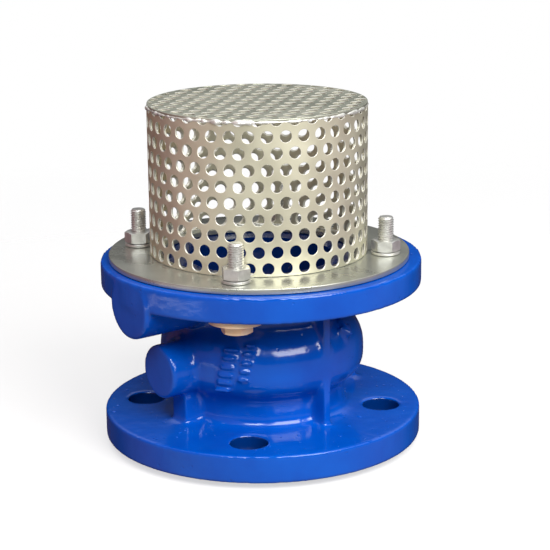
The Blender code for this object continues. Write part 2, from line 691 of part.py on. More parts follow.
def make_plate_nut(name, place, material):
    foot = PLATE_TOP + GAP + PLATE_WASHER_THICKNESS + GAP
    top = foot + NUT_HEIGHT
    nut = piece(name, moved(prism(6, BOLT_NUT_FLATS, foot, top), Matrix.Translation(place)), material)
    hole = rods(BOLT_RADIUS + GAP, foot - ROOTING, top + ROOTING, BOLT_SEGMENTS, [place])
    combine(nut, piece(f"{name} hole", hole), "DIFFERENCE")


def make_strainer_bolts():
    bright = finish("bolt steel", (0.66, 0.65, 0.62), 1.0, 0.3)
    passivated = finish("passivated washer", (0.65, 0.42, 0.22), 1.0, 0.35)
    under = INLET_UNDER - GAP
    low = under - FLANGE_WASHER_THICKNESS
    over = PLATE_TOP + GAP
    high = over + PLATE_WASHER_THICKNESS
    for index, place in enumerate(bolt_places(), 1):
        make_bolt(f"bolt_{index}", place, bright)
        washer(f"flange_washer_{index}", FLANGE_WASHER_RADIUS, low, under, place, passivated)
        washer(f"plate_washer_{index}", PLATE_WASHER_RADIUS, over, high, place, bright)
        make_plate_nut(f"plate_nut_{index}", place, bright)


def hang_disc_on_its_joint():
    """The disc, its rubber and its stem slide together along the axis, so an empty there carries them."""
    slide = bpy.data.objects.new("disc lift", None)
    slide.location = (0, 0, DISC_FOOT)
    bpy.context.scene.collection.objects.link(slide)
    bpy.context.view_layer.update()
    makers = (make_valve_disc, make_disc_seal, make_seal_retainer, make_guide_stem, make_retainer_nut)
    for part in [make() for make in makers]:
        part.parent = slide
        part.matrix_parent_inverse = slide.matrix_world.inverted()
        for step in part.modifiers:
            step.object.parent = slide
            step.object.matrix_parent_inverse = slide.matrix_world.inverted()


def main():
    clear_scene()
    make_valve_body()
    make_seat_ring()
    make_seat_oring()
    hang_disc_on_its_joint()
    make_guide_spider()
    make_guide_bush()
    make_closing_spring()
    make_strainer_plate()
    make_basket()
    make_strainer_bolts()


main()
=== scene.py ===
# %% [markdown]
# # A flanged foot valve
# The CAD frame holds the valve's pieces at their real sizes. This lesson gives each one its finished
# shape and surface: a soft blue casting, a perforated steel basket, threaded bolts, and the machined
# pieces inside. Every size that the frame knows is read from it, so the two can't drift apart.

# %% Load the frame
import math

import bmesh
import bpy
import numpy as np
from mathutils import Matrix, Vector, noise


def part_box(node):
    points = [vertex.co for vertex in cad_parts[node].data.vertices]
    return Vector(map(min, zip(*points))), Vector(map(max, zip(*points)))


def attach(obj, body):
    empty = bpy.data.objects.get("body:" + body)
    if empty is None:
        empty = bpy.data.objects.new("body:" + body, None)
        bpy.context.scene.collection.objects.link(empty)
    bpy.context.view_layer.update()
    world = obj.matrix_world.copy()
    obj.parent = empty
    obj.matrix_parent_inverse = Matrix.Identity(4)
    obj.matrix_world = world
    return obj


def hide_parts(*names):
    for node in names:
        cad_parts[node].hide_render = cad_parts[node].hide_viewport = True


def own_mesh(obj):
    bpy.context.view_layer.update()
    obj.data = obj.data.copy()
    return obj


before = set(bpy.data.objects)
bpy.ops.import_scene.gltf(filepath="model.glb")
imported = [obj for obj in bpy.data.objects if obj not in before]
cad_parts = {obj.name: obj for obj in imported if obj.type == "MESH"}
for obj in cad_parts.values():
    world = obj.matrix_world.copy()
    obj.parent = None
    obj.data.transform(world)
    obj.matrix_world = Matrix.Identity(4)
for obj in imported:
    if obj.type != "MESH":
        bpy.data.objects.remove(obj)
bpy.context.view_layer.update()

MM = 0.001
STILL = "valve"
SLIDING = "disc"

# %% [markdown]
# ## Sizes from the frame
# A node's box gives its radius and its heights, because nearly every piece here is round about the
# upright axis. The few sizes that a box can't give, such as the width of a rib, are named beside the
# piece that needs them.


# %% Read the round pieces
def radius_of(node):
    low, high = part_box(node)
    return (high.y - low.y) / 2


def heights_of(node):
    low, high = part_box(node)
    return low.z, high.z


def middle_of(node):
    low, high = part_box(node)
    return Vector(((low.x + high.x) / 2, (low.y + high.y) / 2, 0))


FACE_TO_FACE = heights_of("valve_body")[1]
PLATE_FOOT, PLATE_TOP = heights_of("strainer_plate")
BASKET_TOP = heights_of("basket_end")[1]
BASKET_RADIUS = radius_of("basket_end")
STRAINER_PLACE = Matrix.Translation(middle_of("basket_end"))
BOLT_PLACES = [middle_of(f"bolt_{index}") for index in range(1, 5)]
print("face to face", round(FACE_TO_FACE / MM, 2), "basket top", round(BASKET_TOP / MM, 2))

# %% [markdown]
# ## A few workshop helpers
# Turned pieces are an outline spun about the axis. An outline lists its corners, each with the
# radius of its fillet, and `rounded` puts the arcs in. `finished` turns a bmesh into an object whose
# place is in its mesh, shades its round faces smooth, and hands it to the body it moves with.

# %% Outlines and turned shapes
ARC_STEP = math.radians(12)


def rounded(corners):
    """The points of a closed outline whose corners are (radius, height, fillet)."""
    points = []
    for index, (radius, height, fillet) in enumerate(corners):
        corner = Vector((radius, height))
        if not fillet:
            points.append(corner)
            continue
        back = (Vector(corners[index - 1][:2]) - corner).normalized()
        ahead = (Vector(corners[(index + 1) % len(corners)][:2]) - corner).normalized()
        half = back.angle(ahead) / 2
        centre = corner + (back + ahead).normalized() * fillet / math.sin(half)
        start = corner + back * fillet / math.tan(half) - centre
        end = corner + ahead * fillet / math.tan(half) - centre
        swing = start.angle_signed(end)
        steps = max(2, round(abs(swing) / ARC_STEP))
        points += [centre + Matrix.Rotation(-swing * step / steps, 2) @ start for step in range(steps + 1)]
    return points


def turned(points, segments=96):
    """A closed outline in the XZ plane, spun round Z. Points on the axis close the shape there."""
    shape = bmesh.new()
    ring = [shape.verts.new((point[0], 0, point[1])) for point in points]
    edges = [shape.edges.new((ring[index - 1], ring[index])) for index in range(len(ring))]
    spun = [edge for edge in edges if max(vert.co.x for vert in edge.verts) > 1e-6]
    spin = {"axis": (0, 0, 1), "cent": (0, 0, 0), "steps": segments, "angle": 2 * math.pi}
    bmesh.ops.spin(shape, geom=ring + spun, use_merge=True, **spin)
    bmesh.ops.remove_doubles(shape, verts=shape.verts, dist=1e-7)
    loose = [edge for edge in shape.edges if not edge.link_faces]
    bmesh.ops.delete(shape, geom=loose, context="EDGES")
    bmesh.ops.recalc_face_normals(shape, faces=shape.faces)
    return shape


def ring_corners(inner, outer, foot, top, edge):
    return [(inner, foot, edge), (outer, foot, edge), (outer, top, edge), (inner, top, edge)]


def rod(radius, foot, top, segments=32):
    return turned([(0, foot), (radius, foot), (radius, top), (0, top)], segments)


def moved(shape, place):
    bmesh.ops.transform(shape, matrix=place, verts=shape.verts)
    return shape


def verts_of(parts):
    return [part for part in parts if isinstance(part, bmesh.types.BMVert)]


def edges_of(parts):
    return [part for part in parts if isinstance(part, bmesh.types.BMEdge)]


def added(shape, others):
    """The shape with the others put into the same mesh."""
    for other in others:
        mesh = bpy.data.meshes.new("loan")
        other.to_mesh(mesh)
        other.free()
        shape.from_mesh(mesh)
        bpy.data.meshes.remove(mesh)
    return shape


# %% Objects, cuts and joins
def as_object(name, shape):
    mesh = bpy.data.meshes.new(name)
    shape.to_mesh(mesh)
    shape.free()
    made = bpy.data.objects.new(name, mesh)
    bpy.context.scene.collection.objects.link(made)
    return made


def settled(made):
    """The object with its modifiers worked into its mesh."""
    graph = bpy.context.evaluated_depsgraph_get()
    mesh = bpy.data.meshes.new_from_object(made.evaluated_get(graph))
    made.modifiers.clear()
    made.data = mesh
    return made


def cut_or_join(made, tools, operation, solver="EXACT"):
    for tool in tools:
        step = made.modifiers.new(operation, "BOOLEAN")
        step.operation = operation
        step.solver = solver
        step.object = tool
    settled(made)
    for tool in tools:
        bpy.data.objects.remove(tool)
    return made


def finished(made, material, body, nodes=(), sharp=35):
    """Shades a piece, gives it its material unless it has its own, ties it to its body and hides its CAD
    nodes.
    """
    if material:
        made.data.materials.clear()
        made.data.materials.append(material)
    made.data.shade_smooth()
    made.data.set_sharp_from_angle(angle=math.radians(sharp))
    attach(made, body)
    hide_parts(*nodes)
    print(f"{made.name}: {len(made.data.polygons)} faces")
    return made


# %% [markdown]
# ## Surface effects that several materials share
# Real surfaces are never quite even. `uneven` gives a slow value for patches, `pitted` a height for
# small dents and dust under a coating, and `rolled` the fine lines that a mill leaves in sheet. Three
# more are masks that say where: beside the basket's seam, and where a darker blue is painted as shade
# inside the casting and on the walls of its bolt holes. Each group puts out only values that change
# over the surface, and they are computed from the piece's own place, so the same finish fits any piece
# without a picture wrapped on it.


# %% Helpers for nodes
def add_node(tree, kind, inputs, **settings):
    """Adds a node and returns its outputs. An input is a value or another node's output."""
    made = tree.nodes.new("ShaderNode" + kind)
    for label, value in settings.items():
        setattr(made, label, value)
    for label, value in inputs.items():
        if isinstance(value, bpy.types.NodeSocket):
            tree.links.new(value, made.inputs[label])
        else:
            made.inputs[label].default_value = value
    return made.outputs


def math_in(tree, operation, first, second):
    return add_node(tree, "Math", {0: first, 1: second}, operation=operation)["Value"]


def split_in(tree, vector):
    return add_node(tree, "SeparateXYZ", {"Vector": vector})


def object_place(tree):
    return add_node(tree, "TexCoord", {})["Object"]


def far_from(tree, line):
    """How far a point of the piece is from an upright line."""
    flat = add_node(tree, "VectorMath", {0: object_place(tree), 1: (1, 1, 0)}, operation="MULTIPLY")["Vector"]
    return add_node(tree, "VectorMath", {0: flat, 1: line}, operation="DISTANCE")["Value"]


def colour_ramp(tree, factor, stops):
    """A ramp whose stops are (place, colour)."""
    ramp = tree.nodes.new("ShaderNodeValToRGB")
    for place, colour in stops[1:-1]:
        ramp.color_ramp.elements.new(place)
    for element, (place, colour) in zip(ramp.color_ramp.elements, stops):
        element.position = place
        element.color = (*colour, 1)
    tree.links.new(factor, ramp.inputs["Fac"])
    return ramp.outputs["Color"]


def new_group(name, inputs, output):
    """An empty group and the values that it takes in."""
    group = bpy.data.node_groups.new(name, "ShaderNodeTree")
    for label, value in inputs.items():
        socket = group.interface.new_socket(label, in_out="INPUT", socket_type="NodeSocketFloat")
        socket.default_value = value
    group.interface.new_socket(output, in_out="OUTPUT", socket_type="NodeSocketFloat")
    return group, group.nodes.new("NodeGroupInput").outputs


def closed_group(group, value):
    group.links.new(value, group.nodes.new("NodeGroupOutput").inputs[0])
    return group


def noise_in(group, taken, detail, squash=None):
    """Noise over the piece, whose size is the group's Scale."""
    where = object_place(group)
    if squash:
        where = add_node(group, "Mapping", {"Vector": where, "Scale": squash})["Vector"]
    return add_node(group, "TexNoise", {"Vector": where, "Scale": taken["Scale"], "Detail": detail})["Fac"]


# %% Patches, pits and mill lines
def make_uneven():
    group, taken = new_group("uneven", {"Scale": 60.0, "Low": 0.35, "High": 0.65}, "Value")
    edges = {"Value": noise_in(group, taken, 3), "From Min": taken["Low"], "From Max": taken["High"]}
    return closed_group(group, add_node(group, "MapRange", edges)["Result"])


def make_pitted():
    group, taken = new_group("pitted", {"Scale": 500.0, "Threshold": 0.18}, "Height")
    cells = add_node(group, "TexVoronoi", {"Vector": object_place(group), "Scale": taken["Scale"]})
    edges = {"Value": cells["Distance"], "From Max": taken["Threshold"]}
    return closed_group(group, add_node(group, "MapRange", edges, interpolation_type="SMOOTHSTEP")["Result"])


def make_rolled():
    group, taken = new_group("rolled", {"Scale": 900.0}, "Height")
    return closed_group(group, noise_in(group, taken, 4, squash=(1.0, 1.0, 0.06)))


# %% [markdown]
# ### Masks
# A mask is 1 where a finish or a painted shade goes and 0 elsewhere. Each is worked out from how far a
# point is from a line or how high it stands, because a formula fits the shape exactly and needs no
# picture.

# %% Masks for the seam, and for the painted shade inside and in the holes
SEAM_PLACE = (-0.0568, 0.0068, 0)
OUTLET_HOLES_AT = -6.5


def make_heat_tint():
    """1 beside the basket's seam weld, fading to 0 with distance, with an uneven edge."""
    group, taken = new_group("heat_tint", {"Scale": 90.0, "Near": 0.008, "Far": 0.044}, "Value")
    edges = {"From Min": taken["Near"], "From Max": taken["Far"], "To Min": 1, "To Max": 0}
    edges["Value"] = far_from(group, SEAM_PLACE)
    fade = add_node(group, "MapRange", edges, interpolation_type="SMOOTHSTEP")["Result"]
    return closed_group(group, math_in(group, "MULTIPLY", fade, noise_in(group, taken, 3)))


def make_inner_shade():
    """1 in the bore and on the face under the ring plate, where a darker blue is painted as shade."""
    edges = {"Reach": 0.0515, "Height": 0.06, "Bore": 0.0398, "Face": 0.0955}
    group, taken = new_group("inner_shade", edges, "Value")
    height = split_in(group, object_place(group))["Z"]
    away = far_from(group, (0, 0, 0))
    deep = math_in(group, "LESS_THAN", away, taken["Bore"])
    face = math_in(group, "GREATER_THAN", height, taken["Face"])
    within = math_in(group, "LESS_THAN", away, taken["Reach"])
    above = math_in(group, "GREATER_THAN", height, taken["Height"])
    both = math_in(group, "MULTIPLY", math_in(group, "MAXIMUM", deep, face), within)
    return closed_group(group, math_in(group, "MULTIPLY", both, above))


def make_hole_wall_shade():
    """1 on the walls of the four outlet holes, where a darker blue is painted as shade. Folding the flange in
    four needs only one of them.
    """
    group, taken = new_group("hole_wall_shade", {"Circle": 0.0625, "Reach": 0.0096, "Top": 0.0171}, "Value")
    turn = {"Vector": object_place(group), "Angle": -math.radians(OUTLET_HOLES_AT)}
    turned_back = add_node(group, "VectorRotate", turn, rotation_type="Z_AXIS")["Vector"]
    folded = split_in(group, add_node(group, "VectorMath", {0: turned_back}, operation="ABSOLUTE")["Vector"])
    along = math_in(group, "MAXIMUM", folded["X"], folded["Y"])
    along = math_in(group, "SUBTRACT", along, taken["Circle"])
    across = math_in(group, "MINIMUM", folded["X"], folded["Y"])
    squares = [math_in(group, "MULTIPLY", length, length) for length in (along, across, taken["Reach"])]
    within = math_in(group, "LESS_THAN", math_in(group, "ADD", *squares[:2]), squares[2])
    under = math_in(group, "LESS_THAN", folded["Z"], taken["Top"])
    return closed_group(group, math_in(group, "MULTIPLY", within, under))


HEAT_TINT = make_heat_tint()
HOLE_WALL_SHADE = make_hole_wall_shade()
INNER_SHADE = make_inner_shade()
UNEVEN = make_uneven()
PITTED = make_pitted()
ROLLED = make_rolled()
print("shared groups:", [group.name for group in bpy.data.node_groups])

# %% [markdown]
# ## Materials
# A helper makes a Principled material and keeps its uniform numbers on the shader's own sockets.
# `patchy` mixes two colours by a group's value, and `bumped` feeds heights into one Bump node.


# %% Material helpers
def shader_material(name, colour, metallic, roughness):
    made = bpy.data.materials.new(name)
    made.use_nodes = True
    shader = made.node_tree.nodes["Principled BSDF"]
    shader.inputs["Base Color"].default_value = (*colour, 1)
    shader.inputs["Metallic"].default_value = metallic
    shader.inputs["Roughness"].default_value = roughness
    return made, made.node_tree, shader


def place_group(tree, group, **values):
    """Puts a shared group in a material and returns what it puts out."""
    return add_node(tree, "Group", values, node_tree=group)[0]


def patchy(tree, shader, factor, first, second):
    """Base Color goes from the first colour to the second as the factor goes from 0 to 1."""
    tree.links.new(colour_ramp(tree, factor, ((0, first), (1, second))), shader.inputs["Base Color"])


def over_colour(tree, shader, factor, colour):
    """Puts one more colour over what already feeds Base Color, wherever the factor is 1."""
    below = shader.inputs["Base Color"].links[0].from_socket
    mixed = add_node(tree, "Mix", {"Factor": factor, 6: below, 7: (*colour, 1)}, data_type="RGBA")[2]
    tree.links.new(mixed, shader.inputs["Base Color"])


def vary_roughness(tree, shader, factor, low, high):
    spread = add_node(tree, "MapRange", {"Value": factor, "To Min": low, "To Max": high})["Result"]
    tree.links.new(spread, shader.inputs["Roughness"])


def bumped(tree, shader, heights, distance):
    """One bump after another, each from (height, strength)."""
    normal = {}
    for height, strength in heights:
        bump = {"Height": height, "Strength": strength, "Distance": distance, **normal}
        normal = {"Normal": add_node(tree, "Bump", bump)["Normal"]}
    tree.links.new(normal["Normal"], shader.inputs["Normal"])


# %% [markdown]
# ### The blue coating
# The casting is dipped in blue epoxy. It is smooth and glossy, a little wavy where it flowed, with
# small pits from the sand below it. A darker blue is painted as shade in the bore, on the face under
# the ring plate and on the walls of the bolt holes. One clear glossy shader with two bumps gives that,
# and needs no picture.


# %% Mix the coating
def make_blue_coating():
    made, tree, shader = shader_material("blue_coating", (0.0, 0.07, 0.5), 0.0, 0.13)
    shader.inputs["IOR"].default_value = 1.5
    patches = place_group(tree, UNEVEN, Scale=35.0, Low=0.3, High=0.7)
    patchy(tree, shader, patches, (0.0, 0.055, 0.37), (0.0, 0.078, 0.45))
    # painted shade: a darker blue in the bore and on the face under the ring plate
    inner_shade = place_group(tree, INNER_SHADE)
    over_colour(tree, shader, inner_shade, (0.0, 0.018, 0.13))
    # painted shade: a darker blue on the walls of the outlet bolt holes
    wall_shade = place_group(tree, HOLE_WALL_SHADE)
    over_colour(tree, shader, wall_shade, (0.0, 0.02, 0.13))
    waves = place_group(tree, UNEVEN, Scale=90.0, Low=0.2, High=0.8)
    pits = place_group(tree, PITTED, Scale=160.0, Threshold=0.14)
    heights = [(waves, 0.35), (pits, 0.5)]
    bumped(tree, shader, heights, 0.5 * MM)
    return made


# %% [markdown]
# ### Steels, bronze, rubber and polymer
# The bare pieces differ in colour and in how sharp their gloss is. Each gets two close colours in
# patches, a roughness that goes from low to high with them, and mill lines where it is rolled sheet.


# %% Mix the metals
def make_metal(name, dark, light, low, high, scale, grain=0.0, metallic=1.0):
    made, tree, shader = shader_material(name, light, metallic, low)
    patches = place_group(tree, UNEVEN, Scale=scale, Low=0.3, High=0.7)
    patchy(tree, shader, patches, dark, light)
    vary_roughness(tree, shader, patches, low, high)
    if grain:
        lines = place_group(tree, ROLLED, Scale=900.0)
        bumped(tree, shader, [(lines, grain)], 0.05 * MM)
    return made


BLUE = make_blue_coating()
SHEET = make_metal("basket_steel", (0.64, 0.62, 0.47), (0.77, 0.75, 0.58), 0.38, 0.50, 40.0, 0.3, 0.78)
warmed = place_group(SHEET.node_tree, HEAT_TINT)
sheet_shader = SHEET.node_tree.nodes["Principled BSDF"]
over_colour(SHEET.node_tree, sheet_shader, warmed, (0.56, 0.36, 0.10))
# painted shade: the end is the same sheet as the wall, given a darker colour for its upward face
SHADED_END_SHEET = make_metal(
    "basket_end_steel_shaded", (0.42, 0.44, 0.36), (0.54, 0.55, 0.46), 0.38, 0.48, 40.0, grain=0.3, metallic=0.85
)
PUNCHED = make_metal(
    "punched_edge_steel", (0.68, 0.67, 0.58), (0.82, 0.81, 0.73), 0.35, 0.45, 300.0, metallic=0.35
)
PLATE = make_metal("plate_steel", (0.42, 0.43, 0.38), (0.52, 0.53, 0.47), 0.24, 0.34, 55.0, 0.2, 0.8)
BRIGHT = make_metal("bolt_steel", (0.60, 0.60, 0.57), (0.74, 0.74, 0.71), 0.32, 0.42, 300.0, 0.0, 0.85)
GOLD = make_metal("gold_passivated_steel", (1.0, 0.69, 0.44), (1.0, 0.82, 0.61), 0.38, 0.48, 200.0, 0.0, 0.3)
BRONZE = make_metal("seat_bronze", (0.48, 0.30, 0.13), (0.60, 0.40, 0.19), 0.25, 0.38, 120.0)
CAST_BRONZE = make_metal("spider_bronze", (0.42, 0.27, 0.12), (0.52, 0.35, 0.17), 0.40, 0.55, 150.0)
MACHINED = make_metal("disc_steel", (0.52, 0.52, 0.50), (0.66, 0.66, 0.64), 0.22, 0.32, 100.0)
WIRE = make_metal("spring_steel", (0.50, 0.50, 0.48), (0.64, 0.64, 0.62), 0.22, 0.30, 200.0)
WELD = make_metal("weld_metal", (0.55, 0.55, 0.50), (0.90, 0.90, 0.87), 0.25, 0.40, 350.0, 0.0, 0.6)
RUBBER = make_metal("black_rubber", (0.020, 0.020, 0.020), (0.035, 0.035, 0.035), 0.5, 0.65, 90.0, 0.0, 0.0)
POLYMER = make_metal("bush_polymer", (0.70, 0.67, 0.58), (0.78, 0.75, 0.67), 0.4, 0.5, 90.0, 0.0, 0.0)
print("materials:", len(bpy.data.materials))

# %% [markdown]
# ## The cast body
# The real body is poured in sand, cleaned, drilled and dipped in epoxy, so every edge is round and
# every rib flows into the barrel. Bevels can't follow such crossings, so the plain solids are joined
# first, the whole is remeshed into small even squares, and then its hollows are filled and its edges
# worn a little at each step, the way fillets form in a mould. Bores are cut last, so they stay crisp.

# %% Outline of the casting
OUTLET_FLANGE_RADIUS = 82.8 * MM
OUTLET_TOP = 17.25 * MM
RAISED_FACE_RADIUS = 49.5 * MM
RAISED_FACE_HEIGHT = 3.0 * MM
INLET_FLANGE_RADIUS = radius_of("valve_body")
INLET_UNDER = FACE_TO_FACE - 13.2 * MM
SEAT_LEDGE = 69.0 * MM
NECK_RADIUS = 43.0 * MM
BARREL_RADIUS = 53.2 * MM
THROAT_RADIUS = 44.0 * MM


def casting_outline():
    foot = OUTLET_TOP + 14.25 * MM
    shoulder = SEAT_LEDGE - 10 * MM
    return rounded(
        [
            (0, 0, 0),
            (RAISED_FACE_RADIUS, 0, 0),
            (RAISED_FACE_RADIUS, RAISED_FACE_HEIGHT, 0),
            (OUTLET_FLANGE_RADIUS, RAISED_FACE_HEIGHT, 0),
            (OUTLET_FLANGE_RADIUS, OUTLET_TOP, 0),
            (NECK_RADIUS, OUTLET_TOP, 4.5 * MM),
            (NECK_RADIUS, foot, 8 * MM),
            (BARREL_RADIUS, foot + 8 * MM, 12.5 * MM),
            (BARREL_RADIUS, shoulder, 21 * MM),
            (THROAT_RADIUS, shoulder + 9.5 * MM, 8 * MM),
            (THROAT_RADIUS, INLET_UNDER, 6 * MM),
            (INLET_FLANGE_RADIUS, INLET_UNDER, 0),
            (INLET_FLANGE_RADIUS, FACE_TO_FACE, 0),
            (0, FACE_TO_FACE, 0),
        ]
    )


# %% [markdown]
# ### Ribs, bosses and raised marks
# Ribs stiffen the neck between the flanges, and two blank bosses could be drilled for a drain. The
# pattern also carries raised marks and a flow arrow. Here the marks are plain bars that say nothing.


# %% Webs, bosses and bars
def turn_to(degrees):
    """A turn about Z, where 0 faces the front and 90 the right."""
    return Matrix.Rotation(math.radians(degrees), 4, "Z")


def upright_web(outline, width, degrees):
    """A flat web in the plane of the axis. The outline is (distance from the axis, height) in mm."""
    shape = bmesh.new()
    corners = [(width / 2, -reach * MM, height * MM) for reach, height in outline]
    side = shape.faces.new([shape.verts.new(corner) for corner in corners])
    lifted = bmesh.ops.extrude_face_region(shape, geom=[side], use_keep_orig=True)["geom"]
    bmesh.ops.translate(shape, vec=(-width, 0, 0), verts=verts_of(lifted))
    bmesh.ops.recalc_face_normals(shape, faces=shape.faces)
    return moved(shape, turn_to(degrees))


def blank_boss(radius, reach, height, degrees):
    """A round boss that points straight out, from well inside the wall to its flat face."""
    start = 36 * MM
    outline = rounded([(0, 0, 0), (radius, 0, 0), (radius, reach - start, 1.5 * MM), (0, reach - start, 0)])
    shape = turned(outline, 64)
    outward = Matrix.Translation((0, -start, height)) @ Matrix.Rotation(math.pi / 2, 4, "X")
    return moved(shape, turn_to(degrees) @ outward)


def raised_bar(width, height, degrees, reach, level, lean=0.0, roll=0.0):
    """A plain raised bar whose middle is this far from the axis, leaning back and rolled in its own plane."""
    shape = bmesh.new()
    bmesh.ops.create_cube(shape, size=1)
    bmesh.ops.scale(shape, vec=(width * MM, 4 * MM, height * MM), verts=shape.verts)
    surface = Matrix.Translation((0, (2 - reach) * MM, level * MM))
    tilt = Matrix.Rotation(math.radians(lean), 4, "X") @ Matrix.Rotation(math.radians(roll), 4, "Y")
    return moved(shape, turn_to(degrees) @ surface @ tilt)


def raised_marks():
    """Two plain columns of bars on the front of the barrel, and a flow arrow on its right shoulder."""
    marks = []
    for level in (40, 44.2, 48.4, 52.6, 56.8, 61):
        lean = -max(0, (level - 52) * 2.5)
        reach = 54.9 - max(0, level - 54) * 0.16
        marks.append(raised_bar(7.6, 1.7, -19.5 + (level - 50) * 0.25, reach, level, lean))
    for level in (46.5, 50.7, 54.9, 59.1, 63.3):
        lean = -max(0, (level - 52) * 2.5)
        reach = 54.9 - max(0, level - 54) * 0.2
        marks.append(raised_bar(5.6, 1.7, -9.5 + (level - 50) * 0.25, reach, level, lean))
    marks.append(raised_bar(2.0, 11, 57, 52.0, 65.5, lean=-42))
    marks.append(raised_bar(2.0, 7, 54.6, 53.0, 63.7, lean=-42, roll=-38))
    marks.append(raised_bar(2.0, 7, 59.4, 53.0, 63.7, lean=-42, roll=38))
    return marks


FRONT_RIB = 38.5
BOSS_SIDE = -53
RIB_WIDTH = 4.5 * MM
PLAIN_RIB = [(36, 12), (53, 12), (53, 90), (36, 90)]
WIDE_RIB = [(36, 12), (64.5, 12), (64.5, 31), (53, 45), (53, 90), (36, 90)]
BOSS_WEB = [(36, 12), (53.5, 12), (53.5, 47), (36, 47)]


def casting_extras():
    return [
        upright_web(PLAIN_RIB, RIB_WIDTH, FRONT_RIB),
        upright_web(WIDE_RIB, RIB_WIDTH, FRONT_RIB + 90),
        upright_web(WIDE_RIB, RIB_WIDTH, FRONT_RIB + 180),
        upright_web(BOSS_WEB, 12 * MM, BOSS_SIDE),
        blank_boss(13.8 * MM, 65.5 * MM, 46.65 * MM, BOSS_SIDE),
        blank_boss(16.3 * MM, 82.5 * MM, FACE_TO_FACE - 13.3 * MM, BOSS_SIDE),
        *raised_marks(),
    ]


# %% [markdown]
# ### Holes and bores
# The flange holes are drilled before coating, so their edges are worn with the rest. The bore, the
# chamber and the pocket for the seat are turned, and one outline holds all of them.

# %% Cutters for the holes and the bore
HOLE_CIRCLE = 62.5 * MM
HOLE_RADIUS = 9.5 * MM
INLET_HOLES_AT = -10.7


def hole_tools():
    tools = []
    out = Matrix.Translation((0, -HOLE_CIRCLE, 0))
    for quarter in range(4):
        lower = rod(HOLE_RADIUS, -5 * MM, OUTLET_TOP + 5 * MM, 64)
        tools.append(moved(lower, turn_to(OUTLET_HOLES_AT + 90 * quarter) @ out))
        upper = rod(HOLE_RADIUS, INLET_UNDER - 5 * MM, FACE_TO_FACE + 5 * MM, 64)
        tools.append(moved(upper, turn_to(INLET_HOLES_AT + 90 * quarter) @ out))
    return added(tools[0], tools[1:])


def bore_outline():
    return rounded(
        [
            (0, -5 * MM, 0),
            (26 * MM, -5 * MM, 0),
            (26 * MM, 18 * MM, 0),
            (34.3 * MM, 18 * MM, 0),
            (34.3 * MM, 29.5 * MM, 0),
            (46.7 * MM, 41.9 * MM, 8 * MM),
            (46.7 * MM, 56 * MM, 8 * MM),
            (33 * MM, 65.7 * MM, 0),
            (33 * MM, SEAT_LEDGE, 0),
            (36.3 * MM, SEAT_LEDGE, 0),
            (36.3 * MM, 75 * MM, 0),
            (38 * MM, 75 * MM, 0),
            (38 * MM, FACE_TO_FACE + 5 * MM, 0),
            (0, FACE_TO_FACE + 5 * MM, 0),
        ]
    )


# %% [markdown]
# ### The soft skin of a casting
# A mould rounds every crossing. The remesh makes one even skin, `soften` fills the hollows and then
# wears the edges, and flat stretches lose the points that they don't need.

# %% Remesh and soften
SQUARE = 0.85 * MM
HOLLOW_STEPS = 40
EDGE_STEPS = 4


def soften(mesh, hollow_steps, edge_steps):
    """Fills hollow corners, then wears every edge a little, by moving points towards their neighbours."""
    count = len(mesh.vertices)
    ends = np.zeros(len(mesh.edges) * 2, np.int32)
    mesh.edges.foreach_get("vertices", ends)
    first, second = ends.reshape(-1, 2).T
    links = np.bincount(ends, minlength=count)[:, None]
    points = np.zeros(count * 3)
    mesh.vertices.foreach_get("co", points)
    points = points.reshape(-1, 3)
    for step in range(hollow_steps + edge_steps):
        near = np.zeros((count, 3))
        for axis in range(3):
            near[:, axis] = np.bincount(first, points[second, axis], count)
            near[:, axis] += np.bincount(second, points[first, axis], count)
        pull = near / links - points
        if step < hollow_steps:
            if step % 6 == 0:
                mesh.vertices.foreach_set("co", points.ravel())
                mesh.update()
                normals = np.zeros(count * 3)
                mesh.vertex_normals.foreach_get("vector", normals)
                normals = normals.reshape(-1, 3)
            outward = (pull * normals).sum(axis=1, keepdims=True)
            pull = normals * np.clip(outward, 0, None)
        points = points + 0.5 * pull
    mesh.vertices.foreach_set("co", points.ravel())
    mesh.update()


def make_valve_body():
    body = as_object("valve_casting", turned(casting_outline(), 128))
    body = cut_or_join(body, [as_object("extra", shape) for shape in casting_extras()], "UNION")
    wide = bmesh.new()
    bmesh.ops.create_cube(wide, size=0.3)
    bmesh.ops.translate(wide, vec=(0, 0, FACE_TO_FACE + 0.15), verts=wide.verts)
    body = cut_or_join(body, [as_object("over", wide), as_object("holes", hole_tools())], "DIFFERENCE")
    even = body.modifiers.new("even squares", "REMESH")
    even.mode = "VOXEL"
    even.voxel_size = SQUARE
    settled(body)
    soften(body.data, HOLLOW_STEPS, EDGE_STEPS)
    fewer = body.modifiers.new("fewer faces", "DECIMATE")
    fewer.ratio = 0.5
    settled(body)
    body = cut_or_join(body, [as_object("bores", turned(bore_outline(), 128))], "DIFFERENCE", "MANIFOLD")
    return finished(body, BLUE, STILL, ["valve_body"], sharp=40)


make_valve_body()

# %% [markdown]
# ## Runs and specks in the coating
# A dipped coating isn't quite level. Where it ran off the casting it set as small flat drops round the
# holes and at the feet of the ribs, and dust under it shows as specks. Each is a flattened ball half
# sunk in the flange, because the light catches a real bump from every side.

